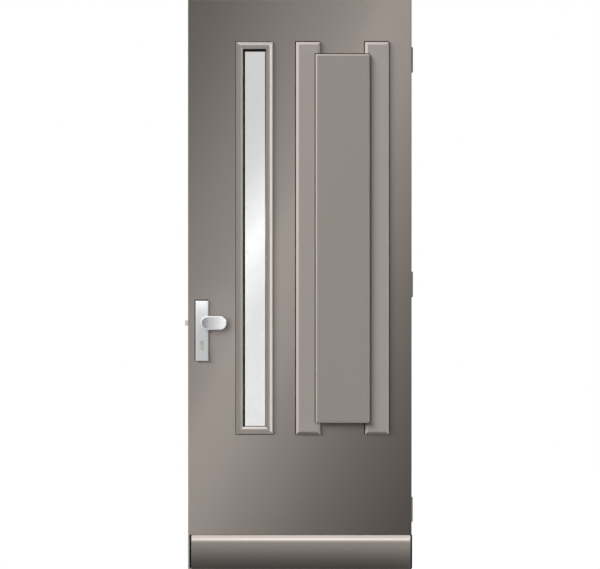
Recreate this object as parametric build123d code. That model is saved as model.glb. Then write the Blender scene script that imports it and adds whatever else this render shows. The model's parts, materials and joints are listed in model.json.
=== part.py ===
from build123d import *
import os

# Glazed front door leaf, in millimetres.
# +X is to the right as seen from outside, -Y is outside, +Z is up.
# The origin is the middle of the leaf's bottom edge, halfway through its thickness.

# Leaf
leaf_width = 830.0
leaf_height = 2115.0
leaf_thickness = 54.0
skin_thickness = 8.0
leaf_arris = 1.5
lock_stile_width = 115.0
hinge_stile_width = 85.0
rail_height = 110.0
trimmer_width = 30.0

# Margins from the leaf's top and foot to the light and the strips, which are of one height
feature_top_margin = 155.0
feature_foot_margin = 501.0

# Glazed light, set back from the lock edge
light_setback = 178.0
light_width = 138.0
moulding_width = 26.5
moulding_lap = 13.0
moulding_proud = 12.0
moulding_edge = 3.0
moulding_round = 10.0
moulding_bevel_width = 10.5
moulding_bevel_drop = 6.0
leg_clearance = 1.0
gasket_thickness = 3.0
gasket_lip = 4.0
pane_thickness = 4.0
cavity_depth = 16.0
unit_clearance = 4.0
edge_seal_width = 4.0
spacer_width = 7.0
block_length = 25.0

# Moulding screws, through the inner members into the trimmers
moulding_screw_radius = 1.75
moulding_screw_head_radius = 3.5
moulding_screw_head_height = 2.0
moulding_screw_length = 35.0
moulding_screw_inset = 9.5
moulding_screw_end = 60.0
moulding_screw_rows = 5

# Ornament: two strips and the centre panel lapped over them, set back from the hinge edge
ornament_setback = 86.0
ornament_width = 344.0
strip_width = 90.0
strip_thickness = 12.0
strip_bevel_width = 10.0
strip_bevel_drop = 8.0
panel_width = 200.0
panel_end_setback = 44.0
panel_thickness = 24.0
panel_bevel_width = 5.0
panel_bevel_drop = 4.0
panel_rebate_clearance = 1.0

# Weather bar
bar_lock_setback = 13.0
bar_hinge_setback = 5.0
bar_top = 127.0
bar_bottom = 4.0
bar_projection = 42.0
bar_top_slope = 9.0
bar_nose_radius = 20.0
bar_nose_height = 94.0
bar_foot_projection = 24.0
bar_end_round = 3.0
drip_groove_width = 5.0
drip_groove_depth = 4.0
drip_groove_back = 10.0

# Bottom seal
seal_groove_width = 13.0
seal_groove_depth = 14.0
seal_clearance = 0.25
seal_fin = 2.0
seal_lift = 0.5
seal_web = 4.0
seal_end_gap = 20.0

# Hinges
hinge_height = 89.0
hinge_end_distance = 220.0
hinge_plate_thickness = 2.5
hinge_plate_width = 28.0
hinge_plate_gap = 1.0
knuckle_radius = 6.5
knuckle_standoff = 0.5
knuckle_count = 5
knuckle_gap = 0.4
pin_radius = 4.0
pin_clearance = 0.05
pin_cap_height = 3.0
pin_cap_gap = 0.3
hinge_let_in_clearance = 0.1
hinge_hole_radius = 2.6
hinge_hole_spacing_y = 12.0
hinge_hole_spacing_z = 58.0
hinge_head_radius = 4.4
hinge_head_height = 1.7
hinge_screw_radius = 2.4
hinge_screw_length = 30.0
screw_clearance = 0.1

# Lock
backset = 52.5
handle_height = 914.0
handle_to_cylinder = 72.0
faceplate_width = 24.0
faceplate_height = 235.0
faceplate_thickness = 3.0
faceplate_drop = 29.0
faceplate_clearance = 0.2
faceplate_screw_inset = 10.0
faceplate_screw_radius = 2.0
faceplate_screw_head_radius = 3.8
faceplate_screw_head_height = 2.0
faceplate_screw_length = 30.0
case_depth = 82.0
case_thickness = 16.0
case_height = 180.0
case_wall = 1.5
case_clearance = 1.0
latch_height = 20.0
latch_thickness = 12.0
latch_throw = 12.0
latch_head_length = 30.0
latch_tail_length = 9.0
latch_tail_height = 10.0
latch_nose = 0.5
bolt_clearance = 0.2
dead_bolt_height = 24.0
dead_bolt_thickness = 12.0
dead_bolt_above_cylinder = 29.0
dead_bolt_length = 32.0
dead_bolt_tail_length = 12.0
dead_bolt_tail_height = 12.0
follower_radius = 11.0
follower_boss_radius = 9.0
running_clearance = 0.05
spindle_size = 8.0
spindle_socket_clearance = 0.05

# Profile cylinder
cylinder_radius = 8.5
cylinder_tail_width = 10.0
cylinder_total_height = 33.0
cylinder_proud = 1.0
cylinder_hole_clearance = 0.25
plug_radius = 6.5
keyway_width = 2.2
keyway_height = 8.5
keyway_depth = 12.0
cam_width = 10.0
cam_side_gap = 0.3
cam_ring_radius = 7.4
cam_nose_radius = 15.0
cam_nose_width = 7.0
cam_sweep_gap = 0.3
cylinder_screw_radius = 2.5
cylinder_screw_drop = 20.0
cylinder_screw_cover = 2.0

# Backplates, knob and lever
plate_width = 48.0
plate_height = 223.0
plate_drop = 28.2
outer_plate_thickness = 10.0
inner_plate_thickness = 8.0
plate_edge_chamfer = 0.8
plate_bolt_spacing = 196.0
plate_bolt_radius = 3.0
plate_bolt_hole_radius = 3.3
plate_bolt_head_radius = 5.5
plate_bolt_head_height = 3.0
plate_bolt_engagement = 7.0
knob_length = 96.3
knob_height = 54.0
knob_left_overhang = 4.0
knob_thickness = 14.0
knob_standoff = 28.0
knob_dish_depth = 2.5
knob_rim_round = 3.0
knob_back_round = 5.0
neck_base_width = 24.0
neck_base_height = 38.0
neck_top_width = 36.0
neck_top_height = 42.0
neck_top_inset = 5.0
knob_screw_radius = 4.0
knob_screw_head_radius = 7.5
knob_screw_head_height = 4.5
knob_screw_engagement = 16.0
lever_neck_radius = 9.0
lever_neck_seat = 5.0
lever_standoff = 42.0
lever_length = 122.0
lever_root_height = 22.0
lever_tip_height = 18.0
lever_root_thickness = 16.0
lever_tip_thickness = 11.0
lever_heel = 11.0
lever_end_round = 3.0
lever_section_round = 0.42

# Places worked out from the sizes above
outer_face = -leaf_thickness / 2
inner_face = leaf_thickness / 2
core_outer = outer_face + skin_thickness
core_inner = inner_face - skin_thickness
lock_edge = -leaf_width / 2
hinge_edge = leaf_width / 2
light_centre_x = lock_edge + light_setback + light_width / 2
ornament_centre_x = hinge_edge - ornament_setback - ornament_width / 2
feature_height = leaf_height - feature_top_margin - feature_foot_margin
feature_centre_z = feature_foot_margin + feature_height / 2
panel_height = feature_height - 2 * panel_end_setback
opening_width = light_width - 2 * moulding_lap
opening_height = feature_height - 2 * moulding_lap
unit_width = opening_width - 2 * unit_clearance
unit_height = opening_height - 2 * unit_clearance
unit_half_depth = cavity_depth / 2 + pane_thickness
sight_width = light_width - 2 * moulding_width - 2 * gasket_lip
sight_height = feature_height - 2 * moulding_width - 2 * gasket_lip
gasket_outer = -unit_half_depth - gasket_thickness
handle_x = lock_edge + backset
cylinder_z = handle_height - handle_to_cylinder
faceplate_centre_z = handle_height - faceplate_drop
plate_centre_z = handle_height - plate_drop
dead_bolt_z = cylinder_z + dead_bolt_above_cylinder
hinge_axis_x = hinge_edge + hinge_plate_gap / 2
hinge_axis_y = inner_face + knuckle_standoff + knuckle_radius
hinge_heights = (hinge_end_distance, leaf_height / 2, leaf_height - hinge_end_distance)
hinge_hole_y = inner_face - hinge_plate_width / 2 - skin_thickness / 2
case_front = lock_edge + faceplate_thickness
case_back = case_front + case_depth
case_half = case_thickness / 2
outer_plate_face = outer_face - outer_plate_thickness
inner_plate_face = inner_face + inner_plate_thickness
bolt_heights = (plate_centre_z - plate_bolt_spacing / 2, plate_centre_z + plate_bolt_spacing / 2)


def block(x, y, z):
    """A box between low and high limits along each axis."""
    size = Box(x[1] - x[0], y[1] - y[0], z[1] - z[0])
    return Pos((x[0] + x[1]) / 2, (y[0] + y[1]) / 2, (z[0] + z[1]) / 2) * size


def along_x(outline, x0, x1):
    """An outline drawn in Y and Z, carried from x0 to x1."""
    return extrude(Plane.YZ.offset(x0) * outline, amount=x1 - x0)


def along_y(outline, y0, y1):
    """An outline drawn in X and Z, carried from y0 to y1."""
    return extrude(Plane.XZ.offset(-y1) * outline, amount=y1 - y0)


def along_z(outline, z0, z1):
    """An outline drawn in X and Y, carried from z0 to z1."""
    return extrude(Plane.XY.offset(z0) * outline, amount=z1 - z0)


def rectangle(centre_a, centre_b, width, height):
    """A rectangle about a centre, in the plane of the outline."""
    return Pos(centre_a, centre_b) * Rectangle(width, height)


def light_rectangle(width, height):
    """A rectangle in X and Z about the middle of the glazed light."""
    return rectangle(light_centre_x, feature_centre_z, width, height)


def round_x(radius, y, z, x0, x1):
    """A round bar or bore that runs along X."""
    return along_x(Pos(y, z) * Circle(radius), x0, x1)


def round_y(radius, x, z, y0, y1):
    """A round bar or bore that runs along Y."""
    return along_y(Pos(x, z) * Circle(radius), y0, y1)


def round_z(radius, x, y, z0, z1):
    """A round bar or bore that runs along Z."""
    return along_z(Pos(x, y) * Circle(radius), z0, z1)


def countersunk(place, outward, length, radius, head_radius, head_height, clearance=0.0):
    """A countersunk screw with its head flush at place. With a clearance it is the hole for it."""
    shank = radius + clearance
    head = head_radius + clearance
    end = length + clearance
    outline = Polyline(
        (0, 0),
        (head, 0),
        (shank, -head_height),
        (shank, -end + shank),
        (0, -end),
        close=True,
    )
    turned = revolve(Plane.XZ * make_face(outline), axis=Axis.Z)
    return Plane(origin=place, z_dir=outward) * turned


def moulding_outline():
    """Section of a moulding member: inward distance from its outer edge, and height above the skin.

    The outer edge is rounded, the middle is flat and the inner edge slopes to the glass.
    The leg behind goes into the opening as far as the gasket.
    """
    flat_end = moulding_width - moulding_bevel_width
    leg_outer = moulding_lap + leg_clearance
    leg_depth = gasket_outer - outer_face
    lines = Curve() + [
        Line((0, 0), (0, moulding_edge)),
        ThreePointArc(
            (0, moulding_edge),
            (0.3 * moulding_round, moulding_edge + 0.68 * (moulding_proud - moulding_edge)),
            (moulding_round, moulding_proud),
        ),
        Polyline(
            (moulding_round, moulding_proud),
            (flat_end, moulding_proud),
            (moulding_width, moulding_proud - moulding_bevel_drop),
            (moulding_width, -leg_depth),
            (leg_outer, -leg_depth),
            (leg_outer, 0),
            (0, 0),
        ),
    ]
    return make_face(lines)


def mitre_prism(width, height, upright):
    """The trapezium between two mitres: the left side of the frame, or its top."""
    left = light_centre_x - width / 2
    right = light_centre_x + width / 2
    low = feature_centre_z - height / 2
    high = feature_centre_z + height / 2
    w = moulding_width
    if upright:
        corners = ((left, low), (left, high), (left + w, high - w), (left + w, low + w))
    else:
        corners = ((left, high), (right, high), (right - w, high - w), (left + w, high - w))
    outline = make_face(Polyline(*corners, close=True))
    return along_y(outline, outer_face - moulding_proud, outer_face + leaf_thickness)


def moulding_members():
    """The four outer members, keyed by side. The section is carried along and cut at the mitres."""
    half_width = light_width / 2
    half_height = feature_height / 2
    section = moulding_outline()
    left_plane = Plane(
        origin=(light_centre_x - half_width, outer_face, feature_centre_z - half_height),
        x_dir=(1, 0, 0),
        z_dir=(0, 0, -1),
    )
    top_plane = Plane(
        origin=(light_centre_x - half_width, outer_face, feature_centre_z + half_height),
        x_dir=(0, 0, -1),
        z_dir=(-1, 0, 0),
    )
    left = extrude(left_plane * section, amount=-feature_height)
    top = extrude(top_plane * section, amount=-light_width)
    left = left & mitre_prism(light_width, feature_height, True)
    top = top & mitre_prism(light_width, feature_height, False)
    return {
        "left": left,
        "right": mirror(left, about=Plane.YZ.offset(light_centre_x)),
        "top": top,
        "bottom": mirror(top, about=Plane.XY.offset(feature_centre_z)),
    }


def moulding_screw_places():
    """Middles of the screw heads on the inner members, in pairs up the long sides and one at each end."""
    reach_x = light_width / 2 - moulding_screw_inset
    reach_z = feature_height / 2 - moulding_screw_inset
    run = feature_height / 2 - moulding_screw_end
    step = 2 * run / (moulding_screw_rows - 1)
    places = []
    for side in (-1, 1):
        places += [
            (light_centre_x + side * reach_x, feature_centre_z - run + i * step)
            for i in range(moulding_screw_rows)
        ]
        places.append((light_centre_x, feature_centre_z + side * reach_z))
    return places


def moulding_screws(clearance=0.0):
    face = inner_face + moulding_proud
    return [
        countersunk(
            (x, face, z),
            (0, 1, 0),
            moulding_screw_length,
            moulding_screw_radius,
            moulding_screw_head_radius,
            moulding_screw_head_height,
            clearance,
        )
        for x, z in moulding_screw_places()
    ]


def hinge_screws(clearance=0.0):
    """Screws of the leaf plates, four to a hinge."""
    return [
        countersunk(
            (hinge_edge, hinge_hole_y + dy * hinge_hole_spacing_y / 2, z + dz * hinge_hole_spacing_z / 2),
            (1, 0, 0),
            hinge_screw_length,
            hinge_screw_radius,
            hinge_head_radius,
            hinge_head_height,
            clearance,
        )
        for z in hinge_heights
        for dy in (-1, 1)
        for dz in (-1, 1)
    ]


def faceplate_screws(clearance=0.0):
    reach = faceplate_height / 2 - faceplate_screw_inset
    return [
        countersunk(
            (lock_edge, 0, faceplate_centre_z + side * reach),
            (-1, 0, 0),
            faceplate_screw_length,
            faceplate_screw_radius,
            faceplate_screw_head_radius,
            faceplate_screw_head_height,
            clearance,
        )
        for side in (-1, 1)
    ]


def cylinder_screw(clearance=0.0):
    """The long screw that holds the cylinder, from the faceplate into the cylinder's tail."""
    return countersunk(
        (lock_edge, 0, cylinder_z - cylinder_screw_drop),
        (-1, 0, 0),
        backset + cylinder_tail_width / 2 - cylinder_screw_cover,
        cylinder_screw_radius,
        faceplate_screw_head_radius,
        faceplate_screw_head_height,
        clearance,
    )


def plate_bolts(clearance=0.0):
    """Through bolts from the inside plate into the outside plate."""
    length = inner_plate_face - outer_face + plate_bolt_engagement
    return [
        countersunk(
            (handle_x, inner_plate_face, z),
            (0, 1, 0),
            length,
            plate_bolt_radius,
            plate_bolt_head_radius,
            plate_bolt_head_height,
            clearance,
        )
        for z in bolt_heights
    ]


def knob_screw(clearance=0.0):
    """The screw that pulls the knob onto its plate, from behind the plate."""
    return countersunk(
        (handle_x, outer_face, handle_height),
        (0, 1, 0),
        outer_plate_thickness + knob_screw_engagement,
        knob_screw_radius,
        knob_screw_head_radius,
        knob_screw_head_height,
        clearance,
    )


def profile_outline(clearance=0.0):
    """The profile cylinder's outline in X and Z: a round head with a straight, round-footed tail below."""
    foot_radius = cylinder_tail_width / 2 + clearance
    foot_z = cylinder_z + cylinder_radius - cylinder_total_height + cylinder_tail_width / 2
    head = Pos(handle_x, cylinder_z) * Circle(cylinder_radius + clearance)
    tail = rectangle(handle_x, (cylinder_z + foot_z) / 2, 2 * foot_radius, cylinder_z - foot_z)
    foot = Pos(handle_x, foot_z) * Circle(foot_radius)
    return head + tail + foot


def leaf_skin(outer):
    """One face of the leaf, with eased edges and every hole that goes through it."""
    y0, y1 = (outer_face, core_outer) if outer else (core_inner, inner_face)
    skin = block((lock_edge, hinge_edge), (y0, y1), (0, leaf_height))
    face = skin.faces().sort_by(Axis.Y)[0 if outer else -1]
    skin = chamfer(face.edges(), leaf_arris)
    skin -= along_y(light_rectangle(opening_width, opening_height), y0, y1)
    skin -= along_y(profile_outline(case_clearance), y0, y1)
    for z in bolt_heights:
        skin -= round_y(plate_bolt_hole_radius, handle_x, z, y0, y1)
    if not outer:
        skin -= round_y(lever_neck_radius, handle_x, handle_height, y0, y1)
        skin -= hinge_let_ins()
        skin -= moulding_screws(screw_clearance)
    return skin


def hinge_let_ins():
    """Pockets in the leaf's edge that take the hinge plates flush."""
    width = hinge_plate_width + hinge_let_in_clearance
    half = hinge_height / 2 + hinge_let_in_clearance
    x_span = (hinge_edge - hinge_plate_thickness, hinge_edge)
    return [block(x_span, (inner_face - width, inner_face), (z - half, z + half)) for z in hinge_heights]


def lock_stile():
    stile = block(
        (lock_edge, lock_edge + lock_stile_width), (core_outer, core_inner), (0, leaf_height)
    )
    stile -= faceplate_blank(faceplate_clearance, 0.0)
    gap = case_clearance
    stile -= block(
        (case_front - gap, case_back + gap),
        (-case_half - gap, case_half + gap),
        (faceplate_centre_z - case_height / 2 - gap, faceplate_centre_z + case_height / 2 + gap),
    )
    stile -= along_y(profile_outline(case_clearance), core_outer, core_inner)
    stile -= round_y(lever_neck_radius, handle_x, handle_height, 0, core_inner)
    for z in bolt_heights:
        stile -= round_y(plate_bolt_hole_radius, handle_x, z, core_outer, core_inner)
    stile -= faceplate_screws(screw_clearance)
    stile -= seal_groove()
    return stile


def hinge_stile():
    stile = block(
        (hinge_edge - hinge_stile_width, hinge_edge), (core_outer, core_inner), (0, leaf_height)
    )
    stile -= hinge_let_ins()
    stile -= hinge_screws(screw_clearance)
    stile -= seal_groove()
    return stile


def seal_groove():
    """The groove along the foot of the leaf."""
    end = leaf_width / 2 - seal_end_gap
    half = seal_groove_width / 2
    return block((-end, end), (-half, half), (0, seal_groove_depth))


def rail(z0, z1):
    """A rail between the two stiles."""
    x0 = lock_edge + lock_stile_width
    x1 = hinge_edge - hinge_stile_width
    return block((x0, x1), (core_outer, core_inner), (z0, z1))


def trimmers():
    """The timbers round the glazed light: two full-height sides, with the head and sill between them."""
    x0 = light_centre_x - opening_width / 2
    x1 = light_centre_x + opening_width / 2
    z0 = feature_centre_z - opening_height / 2
    z1 = feature_centre_z + opening_height / 2
    depth = (core_outer, core_inner)
    w = trimmer_width
    pieces = {
        "light_trimmer_left": block((x0 - w, x0), depth, (z0 - w, z1 + w)),
        "light_trimmer_right": block((x1, x1 + w), depth, (z0 - w, z1 + w)),
        "light_trimmer_sill": block((x0, x1), depth, (z0 - w, z0)),
        "light_trimmer_head": block((x0, x1), depth, (z1, z1 + w)),
    }
    holes = moulding_screws(screw_clearance)
    return {name: piece - holes for name, piece in pieces.items()}


def insulation_core():
    """The foam that fills the leaf between its stiles, rails and trimmers."""
    core = rail(rail_height, leaf_height - rail_height)
    w = 2 * trimmer_width
    window = light_rectangle(opening_width + w, opening_height + w)
    return core - along_y(window, core_outer, core_inner)


def bottom_seal():
    """Rubber section with a web in the groove and two fins that reach the floor side."""
    half = seal_groove_width / 2 - seal_clearance
    top = seal_groove_depth - seal_clearance
    end = leaf_width / 2 - seal_end_gap - seal_clearance
    web = rectangle(0, top - seal_web / 2, 2 * half, seal_web)
    fins = [
        rectangle(side * (half - seal_fin / 2), (seal_lift + top) / 2, seal_fin, top - seal_lift)
        for side in (-1, 1)
    ]
    return along_x(web + fins, -end, end)


def ring(outer_width, outer_height, inner_width, inner_height, y0, y1):
    """A rectangular ring about the middle of the light."""
    outline = light_rectangle(outer_width, outer_height) - light_rectangle(inner_width, inner_height)
    return along_y(outline, y0, y1)


def pane(y0, y1):
    return along_y(light_rectangle(unit_width, unit_height), y0, y1)


def gasket(outer):
    """A rubber gasket that clamps the glass, with a bevelled lip at the sight line."""
    y0 = -unit_half_depth - gasket_thickness
    y1 = -unit_half_depth
    body = ring(unit_width, unit_height, sight_width, sight_height, y0, y1)
    mouth = loft(
        [
            Plane.XZ.offset(-y0) * light_rectangle(sight_width + gasket_lip, sight_height + gasket_lip),
            Plane.XZ.offset(-y1) * light_rectangle(sight_width, sight_height),
        ],
        ruled=True,
    )
    body -= mouth
    return body if outer else mirror(body, about=Plane.XZ)


def setting_blocks():
    """Two blocks that carry the glass unit on the sill."""
    sill = feature_centre_z - opening_height / 2
    half = block_length / 2
    middles = [light_centre_x + side * unit_width / 4 for side in (-1, 1)]
    depth = (-unit_half_depth, unit_half_depth)
    return [block((x - half, x + half), depth, (sill, sill + unit_clearance)) for x in middles]


def bevelled_board(centre_x, width, height, thickness, bevel_width, bevel_drop):
    """A board that lies on the outer skin, with a straight edge and a bevel all round its front."""
    shoulder = outer_face - thickness + bevel_drop
    front = outer_face - thickness
    base = rectangle(centre_x, feature_centre_z, width, height)
    top = rectangle(centre_x, feature_centre_z, width - 2 * bevel_width, height - 2 * bevel_width)
    body = along_y(base, shoulder, outer_face)
    crown = loft([Plane.XZ.offset(-shoulder) * base, Plane.XZ.offset(-front) * top], ruled=True)
    return body + crown


def strip(side):
    """An upright strip of the ornament, at the left with side -1 and at the right with side 1."""
    centre = ornament_centre_x + side * (ornament_width - strip_width) / 2
    return bevelled_board(
        centre, strip_width, feature_height, strip_thickness, strip_bevel_width, strip_bevel_drop
    )


def centre_panel():
    """The panel stands on the skin between the strips and laps over their inner edges."""
    panel = bevelled_board(
        ornament_centre_x, panel_width, panel_height, panel_thickness, panel_bevel_width, panel_bevel_drop
    )
    seat_width = ornament_width - 2 * strip_width - 2 * panel_rebate_clearance
    rebate = (panel_width - seat_width) / 2
    for side in (-1, 1):
        centre = ornament_centre_x + side * (seat_width + rebate) / 2
        outline = rectangle(centre, feature_centre_z, rebate, panel_height)
        panel -= along_y(outline, outer_face - strip_thickness, outer_face)
    return panel


def weather_bar():
    """The bar at the foot: a sloped top, a rounded nose and a face that falls back to a drip groove."""
    y = outer_face
    nose = y - bar_projection
    foot = y - bar_foot_projection
    drop = bar_nose_height - bar_bottom
    back = bar_projection - bar_foot_projection
    radius = (drop**2 + back**2) / (2 * back)
    middle = (nose + radius - (radius**2 - (drop / 2) ** 2) ** 0.5, bar_nose_height - drop / 2)
    lines = Curve() + [
        Polyline((y, bar_bottom), (y, bar_top), (nose, bar_top - bar_top_slope), (nose, bar_nose_height)),
        ThreePointArc((nose, bar_nose_height), middle, (foot, bar_bottom)),
        Line((foot, bar_bottom), (y, bar_bottom)),
    ]
    section = make_face(lines)
    corner = section.vertices().sort_by_distance((nose, bar_top - bar_top_slope))[0]
    section = fillet(corner, bar_nose_radius)
    groove_y = y - drip_groove_back - drip_groove_width / 2
    section -= rectangle(groove_y, bar_bottom + drip_groove_depth / 2, drip_groove_width, drip_groove_depth)
    bar = along_x(section, lock_edge + bar_lock_setback, hinge_edge - bar_hinge_setback)
    ends = [
        edge
        for edge in bar.edges().filter_by(GeomType.CIRCLE)
        if edge.center().Y < (y + nose) / 2 and edge.radius > drip_groove_width
    ]
    return fillet(ends, bar_end_round)


def knuckle_span(index):
    """Low and high end of one knuckle, measured from the middle of the hinge."""
    height = (hinge_height - (knuckle_count - 1) * knuckle_gap) / knuckle_count
    low = -hinge_height / 2 + index * (height + knuckle_gap)
    return low, low + height


def hinge_half(z, jamb):
    """A hinge plate with its knuckles. The jamb half has the first, third and fifth knuckle."""
    if jamb:
        x0 = hinge_edge + hinge_plate_gap
    else:
        x0 = hinge_edge - hinge_plate_thickness
    x1 = x0 + hinge_plate_thickness
    y0 = inner_face - hinge_plate_width
    half = block((x0, x1), (y0, inner_face), (z - hinge_height / 2, z + hinge_height / 2))
    for i in range(0 if jamb else 1, knuckle_count, 2):
        low, high = knuckle_span(i)
        half += block((x0, x1), (inner_face, hinge_axis_y), (z + low, z + high))
        half += round_z(knuckle_radius, hinge_axis_x, hinge_axis_y, z + low, z + high)
    end = hinge_height / 2
    half -= round_z(pin_radius + pin_clearance, hinge_axis_x, hinge_axis_y, z - end, z + end)
    if jamb:
        for dy in (-1, 1):
            for dz in (-1, 1):
                y = hinge_hole_y + dy * hinge_hole_spacing_y / 2
                hole_z = z + dz * hinge_hole_spacing_z / 2
                half -= round_x(hinge_hole_radius, y, hole_z, x0, x1)
                half -= countersunk(
                    (x0, y, hole_z),
                    (-1, 0, 0),
                    hinge_screw_length,
                    hinge_hole_radius - screw_clearance,
                    hinge_head_radius,
                    hinge_head_height,
                    screw_clearance,
                )
        return half
    return half - hinge_screws(screw_clearance)


def hinge_pins():
    """Pins with a cap at both ends."""
    end = hinge_height / 2 + pin_cap_gap
    pins = []
    for z in hinge_heights:
        pin = round_z(pin_radius, hinge_axis_x, hinge_axis_y, z - end, z + end)
        for side in (-1, 1):
            low, high = sorted((side * end, side * (end + pin_cap_height)))
            cap = round_z(knuckle_radius, hinge_axis_x, hinge_axis_y, z + low, z + high)
            rim = cap.edges().filter_by(GeomType.CIRCLE).sort_by(Axis.Z)[-1 if side > 0 else 0]
            pin += fillet(rim, pin_cap_height / 2)
        pins.append(pin)
    return pins


def faceplate_blank(clearance, proud):
    """The long plate with round ends on the leaf's edge, let in flush."""
    width = faceplate_width + 2 * clearance
    height = faceplate_height + 2 * clearance
    outline = Pos(0, faceplate_centre_z) * Rot(0, 0, 90) * SlotOverall(height, width)
    return along_x(outline, lock_edge - proud, case_front)


def latch_hole(clearance, x0, x1):
    width = latch_thickness + 2 * clearance
    height = latch_height + 2 * clearance
    return along_x(rectangle(0, handle_height, width, height), x0, x1)


def dead_bolt_hole(clearance, x0, x1):
    width = dead_bolt_thickness + 2 * clearance
    height = dead_bolt_height + 2 * clearance
    return along_x(rectangle(0, dead_bolt_z, width, height), x0, x1)


def faceplate():
    plate = faceplate_blank(0.0, 0.0)
    plate -= latch_hole(bolt_clearance, lock_edge, case_front)
    plate -= dead_bolt_hole(bolt_clearance, lock_edge, case_front)
    plate -= faceplate_screws(screw_clearance)
    plate -= cylinder_screw(screw_clearance)
    return plate


def case_outline(inset):
    """The lock case in X and Z, or its hollow with the wall as the inset."""
    middle = (case_front + case_back) / 2
    return rectangle(middle, faceplate_centre_z, case_depth - 2 * inset, case_height - 2 * inset)


def lock_case():
    """A pressed tray, open on the inner side, with holes for the bolts, follower and cylinder."""
    cover_face = case_half - case_wall
    case = along_y(case_outline(0.0), -case_half, cover_face)
    case -= along_y(case_outline(case_wall), -case_half + case_wall, cover_face)
    case -= latch_hole(bolt_clearance, case_front, case_front + case_wall)
    case -= dead_bolt_hole(bolt_clearance, case_front, case_front + case_wall)
    case -= along_y(profile_outline(cylinder_hole_clearance), -case_half, cover_face)
    case -= round_y(follower_boss_radius + running_clearance, handle_x, handle_height, -case_half, 0)
    case -= cylinder_screw(screw_clearance)
    return case


def lock_case_cover():
    cover = along_y(case_outline(0.0), case_half - case_wall, case_half)
    cover -= along_y(profile_outline(cylinder_hole_clearance), 0, case_half)
    cover -= round_y(follower_boss_radius + running_clearance, handle_x, handle_height, 0, case_half)
    return cover


def latch_bolt():
    """The latch has a slope on its outer side, where it meets the frame as the leaf closes."""
    tip = lock_edge - latch_throw
    back = tip + latch_head_length
    half = latch_thickness / 2
    outline = make_face(
        Polyline(
            (tip, half),
            (tip, half - latch_nose),
            (lock_edge - latch_nose, -half),
            (back, -half),
            (back, half),
            close=True,
        )
    )
    head = along_z(outline, handle_height - latch_height / 2, handle_height + latch_height / 2)
    tail = rectangle(0, handle_height, case_half, latch_tail_height)
    return head + along_x(tail, back, back + latch_tail_length)


def dead_bolt():
    head = dead_bolt_hole(0.0, lock_edge, lock_edge + dead_bolt_length)
    tail = rectangle(0, dead_bolt_z, case_half, dead_bolt_tail_height)
    back = lock_edge + dead_bolt_length
    return head + along_x(tail, back, back + dead_bolt_tail_length)


def lock_follower():
    """The follower turns in the case on its two bosses and carries the spindle."""
    inside = case_half - case_wall - running_clearance
    body = round_y(follower_radius, handle_x, handle_height, -inside, inside)
    body += round_y(follower_boss_radius, handle_x, handle_height, -case_half, case_half)
    return body - spindle(spindle_socket_clearance)


def spindle(clearance=0.0):
    """Square bar from the follower into the inside lever."""
    size = spindle_size + 2 * clearance
    y0 = -case_half + case_wall - clearance
    y1 = inner_plate_face + lever_standoff / 2 + clearance
    return along_y(rectangle(handle_x, handle_height, size, size), y0, y1)


def cylinder_body():
    """The profile cylinder's housing, with a bore for the plugs and a gap for the cam."""
    y0 = outer_plate_face - cylinder_proud
    y1 = inner_plate_face + cylinder_proud
    body = along_y(profile_outline(), y0, y1)
    body -= round_y(plug_radius + running_clearance, handle_x, cylinder_z, y0, y1)
    gap = cam_width / 2 + cam_side_gap
    body -= round_y(cam_nose_radius + cam_sweep_gap, handle_x, cylinder_z, -gap, gap)
    return body - cylinder_screw(screw_clearance)


def cylinder_plug(outer):
    """The part that the key turns, with a keyway in its face."""
    face = outer_plate_face - cylinder_proud if outer else inner_plate_face + cylinder_proud
    cam_side = -cam_width / 2 if outer else cam_width / 2
    y0, y1 = sorted((face, cam_side))
    plug = round_y(plug_radius, handle_x, cylinder_z, y0, y1)
    k0, k1 = sorted((face, face + keyway_depth if outer else face - keyway_depth))
    return plug - along_y(rectangle(handle_x, cylinder_z, keyway_width, keyway_height), k0, k1)


def cylinder_cam():
    """The ring between the plugs, with the nose that moves the bolt."""
    half = cam_width / 2
    ring_face = Pos(handle_x, cylinder_z) * Circle(cam_ring_radius)
    nose = rectangle(handle_x, cylinder_z - cam_nose_radius / 2, cam_nose_width, cam_nose_radius)
    tip = Pos(handle_x, cylinder_z) * Circle(cam_nose_radius)
    return along_y(ring_face + (nose & tip), -half, half)


def backplate(outer):
    """A square-cornered plate with eased front edges, and holes for the cylinder and the bolts."""
    y0, y1 = (outer_plate_face, outer_face) if outer else (inner_face, inner_plate_face)
    plate = along_y(rectangle(handle_x, plate_centre_z, plate_width, plate_height), y0, y1)
    face = plate.faces().sort_by(Axis.Y)[0 if outer else -1]
    plate = chamfer(face.edges(), plate_edge_chamfer)
    plate -= along_y(profile_outline(cylinder_hole_clearance), y0, y1)
    plate -= plate_bolts(screw_clearance)
    if outer:
        return plate - knob_screw(screw_clearance)
    return plate - round_y(lever_neck_radius + running_clearance, handle_x, handle_height, y0, y1)


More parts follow.
